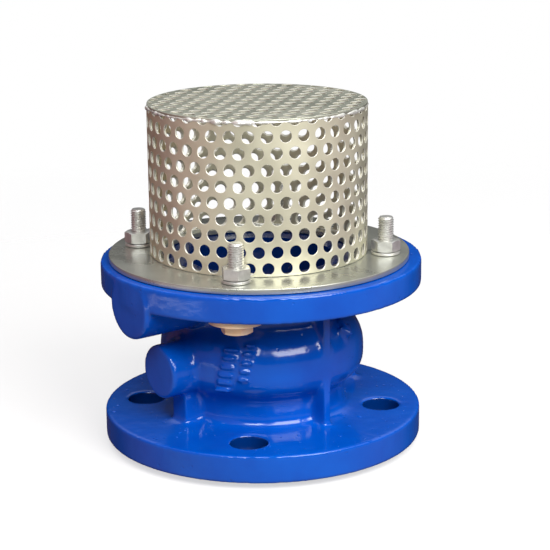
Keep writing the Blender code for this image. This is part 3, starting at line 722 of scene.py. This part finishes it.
# %% Place the drops and specks on the outlet flange
# Each run is (degrees round the valve, distance from its axis, length, width), in mm.
RUNS = (
    (0.3, 72.2, 1.7, 0.8), (2.6, 68.5, 1.3, 0.7), (-2.8, 73.6, 1.0, 0.6), (18.0, 56.5, 1.5, 0.7),
    (16.1, 65.7, 1.1, 0.8), (-41.3, 63.4, 1.0, 0.8), (-41.9, 58.6, 1.2, 0.6), (-38.6, 69.1, 0.8, 0.6),
    (-60.6, 56.5, 1.6, 0.8), (34.8, 67.4, 1.0, 0.6), (47.2, 59.5, 1.4, 0.7), (61.5, 56.5, 1.7, 0.7),
    (-86.0, 76.5, 1.0, 0.7), (-79.0, 79.0, 1.1, 0.7), (-105.0, 76.0, 1.2, 0.8), (128.0, 60.0, 1.4, 0.8),
    (163.0, 74.0, 1.1, 0.7), (214.0, 66.0, 1.5, 0.8), (240.0, 77.0, 1.0, 0.6),
)
RUN_HEIGHT = 0.35
SPECKS = 70
SPECK_TURN = 137.508


def flat_drop(shape, degrees, reach, length, width, height):
    grown = bmesh.ops.create_uvsphere(shape, u_segments=12, v_segments=8, radius=1.0)["verts"]
    bmesh.ops.scale(shape, vec=(width * MM, length * MM, height * MM), verts=grown)
    bmesh.ops.translate(shape, vec=(0, -reach * MM, OUTLET_TOP - 0.02 * MM), verts=grown)
    bmesh.ops.rotate(shape, matrix=Matrix.Rotation(math.radians(degrees), 3, "Z"), verts=grown)


def make_runs():
    shape = bmesh.new()
    for degrees, reach, length, width in RUNS:
        flat_drop(shape, degrees, reach, length, width, RUN_HEIGHT)
    for step in range(SPECKS):
        degrees = step * SPECK_TURN
        reach = 56.0 + 25.0 * math.fmod(step * 0.618, 1.0)
        aside = (degrees - OUTLET_HOLES_AT + 45) % 90 - 45
        if abs(math.radians(aside) * reach) > 11 or abs(reach - 62.5) > 11:
            flat_drop(shape, degrees, reach, 0.35, 0.3, 0.16 + 0.1 * math.fmod(step * 0.37, 1.0))
    return finished(as_object("coating_runs", shape), BLUE, STILL)


make_runs()

# %% [markdown]
# ## The perforated sheet
# Perforated steel is punched flat in staggered rows and rolled or cut to shape afterwards, and it is
# modelled the same way. One tile has a round hole in a rectangle, with the punch's rolled edge round
# it. Its border points are spaced so that a row shifted by half a tile still meets the next one.

# %% One tile, and a flat sheet of them
PITCH = 9.2 * MM
ROW = 8.14 * MM
HOLE = 2.98 * MM
LIP = 0.16 * MM
LIP_DROP = 0.15 * MM
TILE_POINTS = 24


def tile_border():
    """The tile's border points, anticlockwise from the middle of its right side."""
    across = [PITCH / 2 - PITCH * step / 8 for step in range(9)]
    right = [(PITCH / 2, 0), (PITCH / 2, ROW / 4)]
    top = [(reach, ROW / 2) for reach in across]
    left = [(-PITCH / 2, ROW * step / 4) for step in (1, 0, -1)]
    bottom = [(reach, -ROW / 2) for reach in reversed(across)]
    return right + top + left + bottom + [(PITCH / 2, -ROW / 4)]


def make_tile():
    shape = bmesh.new()
    rim = bmesh.ops.create_circle(shape, segments=TILE_POINTS, radius=HOLE)["verts"]
    bmesh.ops.translate(shape, vec=(0, 0, -LIP_DROP), verts=rim)
    edges = shape.edges[:]
    lip = bmesh.ops.extrude_edge_only(shape, edges=edges)["geom"]
    lip_verts = verts_of(lip)
    bmesh.ops.scale(shape, vec=(1 + LIP / HOLE, 1 + LIP / HOLE, 1), verts=lip_verts)
    bmesh.ops.translate(shape, vec=(0, 0, LIP_DROP), verts=lip_verts)
    for face in shape.faces:
        face.material_index = 1
    border = bmesh.ops.extrude_edge_only(shape, edges=edges_of(lip))["geom"]
    for part in border:
        if isinstance(part, bmesh.types.BMFace):
            part.material_index = 0
    places = tile_border()
    for vert in verts_of(border):
        index = round(math.atan2(vert.co.y, vert.co.x) / (2 * math.pi) * TILE_POINTS) % TILE_POINTS
        vert.co = (*places[index], 0)
    shape.normal_update()
    facing_down = [face for face in shape.faces if face.normal.z < 0]
    bmesh.ops.reverse_faces(shape, faces=facing_down)
    mesh = bpy.data.meshes.new("tile")
    shape.to_mesh(mesh)
    shape.free()
    return mesh


def flat_sheet(columns, rows, shift_even, shift_odd):
    """A sheet in the XY plane. Row 0 is centred on Y = 0; columns and rows are (first, last)."""
    tile = make_tile()
    sheet = bmesh.new()
    for row in range(rows[0], rows[1] + 1):
        shift = shift_odd if row % 2 else shift_even
        for column in range(columns[0], columns[1] + 1):
            before = len(sheet.verts)
            sheet.from_mesh(tile)
            sheet.verts.ensure_lookup_table()
            place = (shift + column * PITCH, row * ROW, 0)
            bmesh.ops.translate(sheet, vec=place, verts=sheet.verts[before:])
    bpy.data.meshes.remove(tile)
    bmesh.ops.remove_doubles(sheet, verts=sheet.verts, dist=0.02 * MM)
    return sheet


def trimmed(sheet, point, outward):
    """Cuts the shape by a plane. What lies on the outward side falls away."""
    everything = sheet.verts[:] + sheet.edges[:] + sheet.faces[:]
    plane = {"plane_co": point, "plane_no": outward}
    bmesh.ops.bisect_plane(sheet, geom=everything, dist=1e-6, clear_outer=True, **plane)


def thickened(made, thickness, materials, offset=-1):
    """Gives a sheet its thickness. The second material goes on what the punch and the shears cut."""
    for material in materials:
        made.data.materials.append(material)
    step = made.modifiers.new("sheet thickness", "SOLIDIFY")
    step.thickness = thickness
    step.offset = offset
    step.material_offset_rim = 1
    return settled(made)


# %% [markdown]
# ## The basket wall
# The strip is as long as the basket is round, and its two ends meet in a welded seam at the left.
# Rolling it is one move for every point: its distance along the strip becomes an angle, and its
# height off the strip a change of radius.

# %% Roll the wall
SHEET_THICKNESS = 1.5 * MM
SEAM_AT = -97.0
FIRST_ROW_UP = 4.1 * MM
BASKET_FOOT = heights_of("basket_shell")[0]
WALL_TOP = heights_of("basket_shell")[1]


def rolled(sheet, radius):
    for vert in sheet.verts:
        angle = vert.co.x / radius
        reach = radius + vert.co.z
        vert.co = (reach * math.sin(angle), -reach * math.cos(angle), vert.co.y)
    return sheet


def make_basket_wall():
    around = 2 * math.pi * BASKET_RADIUS
    start = math.radians(SEAM_AT) * BASKET_RADIUS
    first = math.floor(start / PITCH) - 1
    last = math.ceil((start + around) / PITCH) + 1
    sheet = flat_sheet((first, last), (-1, 10), PITCH / 2, 0.0)
    lowest = PLATE_TOP + FIRST_ROW_UP
    bmesh.ops.translate(sheet, vec=(0, lowest, 0), verts=sheet.verts)
    trimmed(sheet, (0, BASKET_FOOT, 0), (0, -1, 0))
    trimmed(sheet, (0, WALL_TOP, 0), (0, 1, 0))
    trimmed(sheet, (start + 0.15 * MM, 0, 0), (-1, 0, 0))
    trimmed(sheet, (start + around - 0.15 * MM, 0, 0), (1, 0, 0))
    wall = as_object("basket_wall", moved(rolled(sheet, BASKET_RADIUS), STRAINER_PLACE))
    thickened(wall, SHEET_THICKNESS, (SHEET, PUNCHED))
    return finished(wall, None, STILL, ["basket_shell"], sharp=30)


make_basket_wall()

# %% [markdown]
# ## The basket end
# The end is a disc cut from the same sheet, so its rim runs through some of the holes; its steel is
# given a darker colour as painted shade on its upward face. Its rows lie at a slant to the front,
# because nobody lines them up.

# %% Cut the disc
END_SLANT = 14.0
END_CUTS = 96


def make_basket_end():
    reach = math.ceil(BASKET_RADIUS / PITCH) + 1
    sheet = flat_sheet((-reach, reach), (-reach - 1, reach + 1), PITCH / 2, 0.0)
    bmesh.ops.translate(sheet, vec=(0, 3 * MM, 0), verts=sheet.verts)
    bmesh.ops.rotate(sheet, matrix=Matrix.Rotation(math.radians(END_SLANT), 3, "Z"), verts=sheet.verts)
    for cut in range(END_CUTS):
        turn = 2 * math.pi * cut / END_CUTS
        outward = Vector((math.cos(turn), math.sin(turn), 0))
        trimmed(sheet, outward * (BASKET_RADIUS - 0.5 * MM), outward)
    bmesh.ops.translate(sheet, vec=(0, 0, BASKET_TOP), verts=sheet.verts)
    disc = as_object("basket_end_disc", moved(sheet, STRAINER_PLACE))
    thickened(disc, SHEET_THICKNESS - 0.1 * MM, (SHADED_END_SHEET, PUNCHED))
    return finished(disc, None, STILL, ["basket_end"], sharp=30)


make_basket_end()

# %% [markdown]
# ## Welds
# A weld is a row of small frozen ripples. Each bead is a ring of metal whose thickness swells and
# shrinks along its length, with a few larger drops where the welder stopped. The torch also melts the
# cut rim of the end into one narrow solid band.

# %% Weld beads
# Each drop is (degrees round the bead, how wide in degrees, how much it swells).
DROPS = (
    (-4.0, 2.2, 1.5), (-9.0, 2.6, 1.9), (-15.0, 2.0, 1.2), (-21.0, 2.4, 1.6), (-28.0, 1.8, 1.0),
    (-36.0, 2.0, 1.2), (4.0, 1.8, 1.2), (48.0, 2.5, 0.9), (58.0, 4.0, 1.2), (68.0, 3.0, 1.1),
    (-62.0, 2.5, 0.7), (-80.0, 4.0, 1.4), (130.0, 3.0, 1.2), (195.0, 4.0, 1.3),
)


def bead_size(degrees, base, ripple):
    """How thick a bead is here, in mm, from its ripples and its drops."""
    size = base * (0.7 + 0.9 * noise.noise(Vector((degrees * 0.31, base, 0))))
    size += ripple * math.sin(math.radians(degrees) * 90)
    for at, spread, swell in DROPS:
        away = (degrees - at + 180) % 360 - 180
        size += swell * base * math.exp(-((away / spread) ** 2))
    return max(size, 0.12)


def round_section(radius, height, size, points):
    """A circle's points, for a ring of round section."""
    turns = [2 * math.pi * step / points for step in range(points)]
    return [(radius + size * math.cos(turn), height + size * math.sin(turn)) for turn in turns]


def ring_bead(radius, height, base, ripple):
    shape = turned(round_section(radius, height, 1 * MM, 10), 480)
    for vert in shape.verts:
        degrees = math.degrees(math.atan2(vert.co.x, -vert.co.y))
        centre = Vector((vert.co.x, vert.co.y, 0)).normalized() * radius + Vector((0, 0, height))
        vert.co = centre + (vert.co - centre) * bead_size(degrees, base, ripple)
        vert.co.z = min(vert.co.z, BASKET_TOP - 0.05 * MM)
    return shape


rim_foot, rim_top = BASKET_TOP - 1.4 * MM, BASKET_TOP - 0.02 * MM
rim_corners = ring_corners(BASKET_RADIUS - 1.2 * MM, BASKET_RADIUS - 0.15 * MM, rim_foot, rim_top, 0.3 * MM)
rim_ring = as_object("basket_end_rim", moved(turned(rounded(rim_corners), 180), STRAINER_PLACE))
# painted shade: the rim takes the end's darker steel
finished(rim_ring, SHADED_END_SHEET, STILL, [])
end_bead = ring_bead(BASKET_RADIUS - 0.2 * MM, BASKET_TOP - 1.5 * MM, 0.6, 0.07)
finished(as_object("basket_end_weld", moved(end_bead, STRAINER_PLACE)), WELD, STILL)
foot_bead = ring_bead(BASKET_RADIUS - SHEET_THICKNESS - 0.2 * MM, PLATE_TOP + 0.3 * MM, 0.6, 0.1)
finished(as_object("basket_foot_weld", moved(foot_bead, STRAINER_PLACE)), WELD, STILL)

# %% [markdown]
# ## The ring plate
# The plate is cut from sheet and carries the basket. Its edges are only broken, so a small round on
# the outline is enough, and its four bolt holes are cut after it is turned.


# %% Turn and drill the plate
def make_plate():
    outline = rounded(ring_corners(50 * MM, radius_of("strainer_plate"), PLATE_FOOT, PLATE_TOP, 0.4 * MM))
    plate = as_object("ring_plate", moved(turned(outline, 180), STRAINER_PLACE))
    drill = (4.5 * MM, PLATE_FOOT - MM, PLATE_TOP + MM)
    holes = [moved(rod(*drill), Matrix.Translation(place)) for place in BOLT_PLACES]
    cut_or_join(plate, [as_object("plate holes", added(holes[0], holes[1:]))], "DIFFERENCE")
    return finished(plate, PLATE, STILL, ["strainer_plate"], sharp=30)


make_plate()

# %% [markdown]
# ## Bolts, nuts and washers
# A rolled thread is one tooth's outline carried up a helix. A hexagon head or nut starts as a turned
# blank with coned faces, and six flats are cut off it, which leaves the curved corners that real
# nuts have.

# %% Threads and hexagons
THREAD_PITCH = 1.25 * MM
THREAD_DEPTH = 0.6 * MM
# One turn of thread, as (0 at the root to 1 at the crest, share of the pitch).
TOOTH = ((0, 0.0), (0, 0.15), (1, 0.45), (1, 0.58), (0, 0.9), (0, 1.0))


def threaded(radius, foot, top, pitch, depth, segments=24):
    """A threaded rod with flat ends and a coned tip."""
    turns = math.ceil((top - foot) / pitch) + 2
    root = radius - depth
    shape = bmesh.new()
    verts = [shape.verts.new((root + crest * depth, 0, foot + (share - 1) * pitch)) for crest, share in TOOTH]
    edges = [shape.edges.new(pair) for pair in zip(verts, verts[1:])]
    steps = turns * segments
    rise = (0, 0, pitch / segments)
    spin = {"axis": (0, 0, 1), "cent": (0, 0, 0), "steps": steps, "angle": 2 * math.pi * turns}
    bmesh.ops.spin(shape, geom=verts + edges, dvec=rise, **spin)
    bmesh.ops.remove_doubles(shape, verts=shape.verts, dist=1e-6)
    for height, side in ((foot, -1), (top, 1)):
        trimmed(shape, (0, 0, height), (0, 0, side))
        rim = [edge for edge in shape.edges if edge.is_boundary and abs(edge.verts[0].co.z - height) < 1e-6]
        bmesh.ops.edgeloop_fill(shape, edges=rim)
    for vert in shape.verts:
        allowed = root - 0.2 * MM + (top - vert.co.z)
        reach = math.hypot(vert.co.x, vert.co.y)
        if reach > allowed:
            vert.co.xy = vert.co.xy * allowed / reach
    bmesh.ops.recalc_face_normals(shape, faces=shape.faces)
    return shape


def hexagon(flats, foot, top, bore=0.0):
    """A nut or a bolt head: a coned blank with six flats cut on it."""
    corner = flats / math.sqrt(3) + 0.05 * MM
    cone = (corner - flats / 2) * 0.55
    inner = flats / 2 * 0.97
    under = [(bore, foot), (inner, foot), (corner, foot + cone)]
    blank = turned(under + [(corner, top - cone), (inner, top), (bore, top)], 96)
    for side in range(6):
        turn = math.radians(60 * side)
        outward = Vector((math.cos(turn), math.sin(turn), 0))
        everything = blank.verts[:] + blank.edges[:] + blank.faces[:]
        plane = {"plane_co": outward * flats / 2, "plane_no": outward}
        cut = bmesh.ops.bisect_plane(blank, geom=everything, dist=1e-7, clear_outer=True, **plane)["geom_cut"]
        bmesh.ops.edgeloop_fill(blank, edges=edges_of(cut))
    bmesh.ops.recalc_face_normals(blank, faces=blank.faces)
    return blank


# %% Make the four sets
BOLT_RADIUS = 4.0 * MM
NUT_FLATS = 13.0 * MM
HEAD_FLATS = 14.0 * MM
HEAD_HEIGHT = 5.3 * MM
WASHER_BORE = 4.3 * MM
HEAD_TURNS = (15, 41, 3, 25)
NUT_TURNS = (8, 22, 50, 33)


def node_ring(name, index, inner, material, edge):
    node = f"{name}_{index}"
    foot, top = heights_of(node)
    outline = rounded(ring_corners(inner, radius_of(node), foot, top, edge))
    made = as_object(f"{name}_made_{index}", moved(turned(outline, 64), Matrix.Translation(middle_of(node))))
    return finished(made, material, STILL, [node])


def make_bolt_set(index, place):
    low, high = heights_of(f"bolt_{index}")
    head_top = low + HEAD_HEIGHT
    blank = moved(hexagon(HEAD_FLATS, low, head_top), turn_to(HEAD_TURNS[index - 1]))
    head = as_object(f"bolt_head_{index}", moved(blank, Matrix.Translation(place)))
    finished(head, GOLD, STILL, [f"bolt_{index}"], sharp=28)
    shank = threaded(BOLT_RADIUS, head_top - 0.5 * MM, high, THREAD_PITCH, THREAD_DEPTH)
    rod_made = as_object(f"bolt_thread_{index}", moved(shank, Matrix.Translation(place)))
    finished(rod_made, BRIGHT, STILL, [], sharp=28)
    foot, top = heights_of(f"plate_nut_{index}")
    blank = hexagon(NUT_FLATS, foot, top, bore=BOLT_RADIUS + 0.05 * MM)
    blank = moved(blank, turn_to(NUT_TURNS[index - 1]))
    nut = as_object(f"nut_made_{index}", moved(blank, Matrix.Translation(place)))
    finished(nut, BRIGHT, STILL, [f"plate_nut_{index}"], sharp=28)
    node_ring("flange_washer", index, WASHER_BORE, GOLD, 0.3 * MM)
    node_ring("plate_washer", index, WASHER_BORE, BRIGHT, 0.2 * MM)


for index, place in enumerate(BOLT_PLACES, 1):
    make_bolt_set(index, place)

# %% [markdown]
# ## The pieces inside
# The seat, disc, stem, bush and spider are lathe work. Each takes its heights from its CAD node and
# gets small rounds on its edges. The spring is a wire on a helix with a closed turn at each end.

# %% Turned pieces
INNER_EDGE = 0.3 * MM


def lathe_piece(name, node, corners, material, body):
    """The corners are (radius in mm, height in mm above the node's foot)."""
    foot = heights_of(node)[0]
    outline = rounded([(reach * MM, foot + height * MM, INNER_EDGE) for reach, height in corners])
    return finished(as_object(name, turned(outline, 96)), material, body, [node])


SEAT_CORNERS = [(27, 0), (29.2, 0), (29.2, 1.8), (32.7, 1.8), (32.7, 3.6), (36, 3.6), (36, 9.3), (27, 9.3)]
DISC_CORNERS = [(5.3, 0), (31, 0), (31, 8), (29.5, 8), (29.5, 5), (5.3, 5)]
SEAL_CORNERS = [(5.3, 0), (29.2, 0), (29.2, 4.1), (5.3, 4.1)]
RETAINER_CORNERS = [(5.3, 0), (23, 0), (23, 2.5), (5.3, 2.5)]
BUSH_CORNERS = [(5.3, 0), (7.2, 0), (7.2, 18), (9.5, 18), (9.5, 20.4), (5.3, 20.4)]
lathe_piece("seat_ring_turned", "seat_ring", SEAT_CORNERS, BRONZE, STILL)
lathe_piece("disc_turned", "valve_disc", DISC_CORNERS, MACHINED, SLIDING)
lathe_piece("seal_moulded", "disc_seal", SEAL_CORNERS, RUBBER, SLIDING)
lathe_piece("retainer_turned", "seal_retainer", RETAINER_CORNERS, MACHINED, SLIDING)
lathe_piece("bush_turned", "guide_bush", BUSH_CORNERS, POLYMER, STILL)

# %% [markdown]
# ### The stem
# The stem guides the disc. Its collar carries the disc and stops the lift, and its short thread takes
# the nut that clamps the seal. It is turned in one outline, and the thread is added as its own helix.

# %% Stem and its nut
stem_foot, stem_top = heights_of("guide_stem")
COLLAR_FOOT = 52.0 * MM
COLLAR_TOP = 55.7 * MM
STEM_RADIUS = 5.0 * MM
THREAD_FOOT = 66 * MM
stem_corners = [
    (0, stem_foot, 0),
    (STEM_RADIUS, stem_foot, 0.8 * MM),
    (STEM_RADIUS, COLLAR_FOOT, 0),
    (9 * MM, COLLAR_FOOT, INNER_EDGE),
    (9 * MM, COLLAR_TOP, INNER_EDGE),
    (STEM_RADIUS, COLLAR_TOP, 0),
    (STEM_RADIUS, THREAD_FOOT, 0),
    (0, THREAD_FOOT, 0),
]
stem_thread = threaded(STEM_RADIUS, THREAD_FOOT - 0.1 * MM, stem_top, 1.5 * MM, 0.8 * MM)
stem = as_object("stem_turned", added(turned(rounded(stem_corners), 48), [stem_thread]))
finished(stem, MACHINED, SLIDING, ["guide_stem"], sharp=28)
nut_foot, nut_top = heights_of("retainer_nut")
stem_nut = hexagon(16 * MM, nut_foot, nut_top, bore=STEM_RADIUS + 0.05 * MM)
finished(as_object("stem_nut", stem_nut), MACHINED, SLIDING, ["retainer_nut"], sharp=28)


# %% [markdown]
# ### Seal ring, spider and spring
# The O-ring is a moulded ring of round section. The spider is a small casting: a ring, a hub and four
# rounded arms joined into one. The spring is a wire on a helix whose ends lie flat, with its foot on
# the hub.


# %% O-ring, spider and spring
def make_oring():
    foot, top = heights_of("seat_oring")
    half = (top - foot) / 2
    section = round_section(radius_of("seat_oring") - half, foot + half, half, 16)
    made = as_object("seat_oring_moulded", turned(section))
    return finished(made, RUBBER, STILL, ["seat_oring"])


def make_spider():
    foot, top = heights_of("guide_spider")
    ring_top = foot + 7 * MM
    ring = rounded(ring_corners(29 * MM, radius_of("guide_spider"), foot, ring_top, 0.6 * MM))
    hub_corners = [(0, foot, 0), (11 * MM, foot, 0.6 * MM), (11 * MM, top, 0.6 * MM), (0, top, 0)]
    hub = turned(rounded(hub_corners), 64)
    tools = [as_object("hub", hub)]
    for quarter in range(4):
        arm = bmesh.new()
        bmesh.ops.create_cube(arm, size=1)
        bmesh.ops.scale(arm, vec=(22 * MM, 5 * MM, ring_top - foot - 1.2 * MM), verts=arm.verts)
        bevel = {"affect": "EDGES", "segments": 3, "profile": 0.5, "material": -1}
        bmesh.ops.bevel(arm, geom=arm.edges[:], offset=0.8 * MM, **bevel)
        bmesh.ops.translate(arm, vec=(20 * MM, 0, (foot + ring_top) / 2), verts=arm.verts)
        tools.append(as_object("arm", moved(arm, turn_to(90 * quarter))))
    spider = cut_or_join(as_object("spider_cast", turned(ring, 96)), tools, "UNION")
    bore = as_object("spider bore", rod(7.5 * MM, foot - MM, top + MM, 64))
    cut_or_join(spider, [bore], "DIFFERENCE")
    return finished(spider, CAST_BRONZE, STILL, ["guide_spider"])


def make_spring():
    foot, top = heights_of("closing_spring")
    wire = 1.0 * MM
    coil = 15.5 * MM
    working = 4
    steps = 36
    closed_rise = 2.3 * MM
    rise = (top - foot - 2 * wire - 2 * closed_rise) / working
    shape = bmesh.new()
    section = bmesh.ops.create_circle(shape, segments=12, radius=wire)["verts"]
    bmesh.ops.rotate(shape, matrix=Matrix.Rotation(math.pi / 2, 3, "X"), verts=section)
    bmesh.ops.translate(shape, vec=(coil, 0, foot + wire), verts=section)
    last = shape.edges[:]
    cap = [shape.faces.new(section)]
    for turns, climb in ((1, closed_rise), (working, rise), (1, closed_rise)):
        spin = {"axis": (0, 0, 1), "cent": (0, 0, 0), "steps": turns * steps, "angle": 2 * math.pi * turns}
        made = bmesh.ops.spin(shape, geom=last, dvec=(0, 0, climb / steps), **spin)["geom_last"]
        last = edges_of(made)
    bmesh.ops.edgeloop_fill(shape, edges=last)
    bmesh.ops.recalc_face_normals(shape, faces=shape.faces)
    spring = finished(as_object("spring_coil", shape), WIRE, STILL, ["closing_spring"])
    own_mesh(spring)
    return spring


make_oring()
make_spider()
make_spring()

# %% [markdown]
# ## Floor, light and camera
# The valve stands on a plain pale floor whose far edge fades into a white room. One large soft light
# from the front right gives the strong shadow under the upper flange, a weak one fills the left, and
# the room that the gloss reflects is bright overhead, dim at the sides and dark behind.

# %% Floor
FLOOR_FADES_FROM = 0.35
FLOOR_FADES_TO = 0.75
FLOOR_STRENGTH = 0.4


def make_floor():
    shape = bmesh.new()
    bmesh.ops.create_circle(shape, cap_ends=True, segments=64, radius=0.8)
    floor = as_object("floor", shape)
    material, tree, shader = shader_material("floor", (0.85, 0.85, 0.85), 0.0, 0.8)
    away = add_node(tree, "VectorMath", {0: object_place(tree)}, operation="LENGTH")["Value"]
    edges = {"From Min": FLOOR_FADES_TO, "From Max": FLOOR_FADES_FROM, "To Max": FLOOR_STRENGTH}
    fade = add_node(tree, "MapRange", {"Value": away, **edges})["Result"]
    tree.links.new(fade, shader.inputs["Alpha"])
    floor.data.materials.append(material)
    floor.visible_diffuse = False
    floor.visible_glossy = False
    floor.location.z = -0.3 * MM


make_floor()


# %% [markdown]
# ### The room
# Gloss shows what stands round the valve. The room is only colours: a ring of patches near the
# horizon, starting at the left and going round by the front, and a ceiling that is dark low down and
# white overhead.

# %% Room
ROUND_THE_VALVE = (
    (0.0, (0.38, 0.17, 0.17)),
    (0.03, (0.38, 0.20, 0.19)),
    (0.07, (0.50, 0.49, 0.46)),
    (0.15, (0.45, 0.44, 0.42)),
    (0.25, (0.42, 0.41, 0.38)),
    (0.42, (0.42, 0.37, 0.38)),
    (0.5, (0.42, 0.30, 0.36)),
    (0.62, (0.04, 0.04, 0.05)),
    (0.9, (0.05, 0.03, 0.05)),
    (1.0, (0.38, 0.17, 0.17)),
)
UP_THE_ROOM = (
    (0.0, (0.02, 0.02, 0.02)),
    (0.2, (0.025, 0.025, 0.03)),
    (0.36, (0.06, 0.065, 0.07)),
    (0.6, (0.80, 0.81, 0.83)),
    (1.0, (1.0, 1.0, 1.0)),
)


def make_room():
    """White to the camera. The gloss sees patches round the horizon and a soft bright ceiling."""
    world = bpy.data.worlds.new("pale room")
    world.use_nodes = True
    tree = world.node_tree
    seen = tree.nodes["Background"]
    seen.inputs["Color"].default_value = (1, 1, 1, 1)
    where = add_node(tree, "TexCoord", {})["Generated"]
    turn = add_node(tree, "TexGradient", {"Vector": where}, gradient_type="RADIAL")["Fac"]
    height = split_in(tree, where)["Z"]
    low = colour_ramp(tree, turn, ROUND_THE_VALVE)
    high = colour_ramp(tree, height, UP_THE_ROOM)
    edge = add_node(tree, "MapRange", {"Value": height, "From Min": -0.05, "From Max": 0.08})["Result"]
    both = add_node(tree, "Mix", {"Factor": edge, 6: low, 7: high}, data_type="RGBA")[2]
    felt = add_node(tree, "Background", {"Color": both})["Background"]
    to_camera = add_node(tree, "LightPath", {})["Is Camera Ray"]
    shaders = {"Fac": to_camera, 1: felt, 2: seen.outputs["Background"]}
    choose = add_node(tree, "MixShader", shaders)["Shader"]
    tree.links.new(choose, tree.nodes["World Output"].inputs["Surface"])
    bpy.context.scene.world = world


make_room()


# %% A dark card at the left
def make_dark_card():
    """Keeps the ceiling's light off the left side, so that the coating goes dark there."""
    shape = bmesh.new()
    corners = [(-0.45, -0.75, 0), (-0.45, 0.45, 0), (-0.45, 0.45, 0.7), (-0.45, -0.75, 0.7)]
    shape.faces.new([shape.verts.new(corner) for corner in corners])
    card = as_object("dark_card", shape)
    card.data.materials.append(shader_material("dark_card", (0.20, 0.07, 0.08), 0.0, 0.9)[0])
    card.visible_camera = False
    card.visible_shadow = False


make_dark_card()


# %% [markdown]
# ### Lights
# A big soft light from the front right makes the shine on the barrel, a weaker one in front fills the
# shadows, and a small strip on the floor at the left shows as a pale patch in the upper rim.


# %% Lights
def soft_light(name, place, target, width, height, power, colour=(1, 1, 1)):
    data = bpy.data.lights.new(name, "AREA")
    data.shape = "RECTANGLE"
    data.size = width
    data.size_y = height
    data.energy = power
    data.color = colour
    light = bpy.data.objects.new(name, data)
    light.location = place
    light.rotation_euler = (Vector(target) - Vector(place)).to_track_quat("-Z", "Y").to_euler()
    bpy.context.scene.collection.objects.link(light)
    return light


soft_light("key_light", (0.62, -0.9, 0.92), (0, 0, 0.09), 0.9, 0.9, 25, (1.0, 0.98, 0.95))
soft_light("front_light", (-0.2, -1.1, 1.0), (0, 0, 0.09), 0.5, 0.5, 10, (0.95, 0.97, 1.0))
floor_strip = soft_light("floor_card", (-0.325, -0.22, 0.003), (-0.325, -0.22, 1), 0.045, 0.27, 0.08)
floor_strip.rotation_euler = (math.pi, 0, math.radians(31.9))
floor_strip.visible_camera = False
bpy.context.scene.view_settings.view_transform = "Standard"

# %% [markdown]
# ### Camera
# A long lens stands nearly a metre in front, a little above the strainer, and looks slightly down.

# %% Camera
PITCH_DOWN = 14.72
ROLL = -0.69
camera_data = bpy.data.cameras.new("camera")
camera_data.sensor_width = 36
camera_data.lens = 113.0
camera_data.shift_x = 0.0255
camera_data.shift_y = -0.0233
camera = bpy.data.objects.new("camera", camera_data)
tilt = Matrix.Rotation(math.radians(90 - PITCH_DOWN), 4, "X") @ Matrix.Rotation(math.radians(ROLL), 4, "Z")
camera.matrix_world = Matrix.Translation((0, -0.8675, 0.3209)) @ tilt
bpy.context.scene.collection.objects.link(camera)
bpy.context.scene.camera = camera
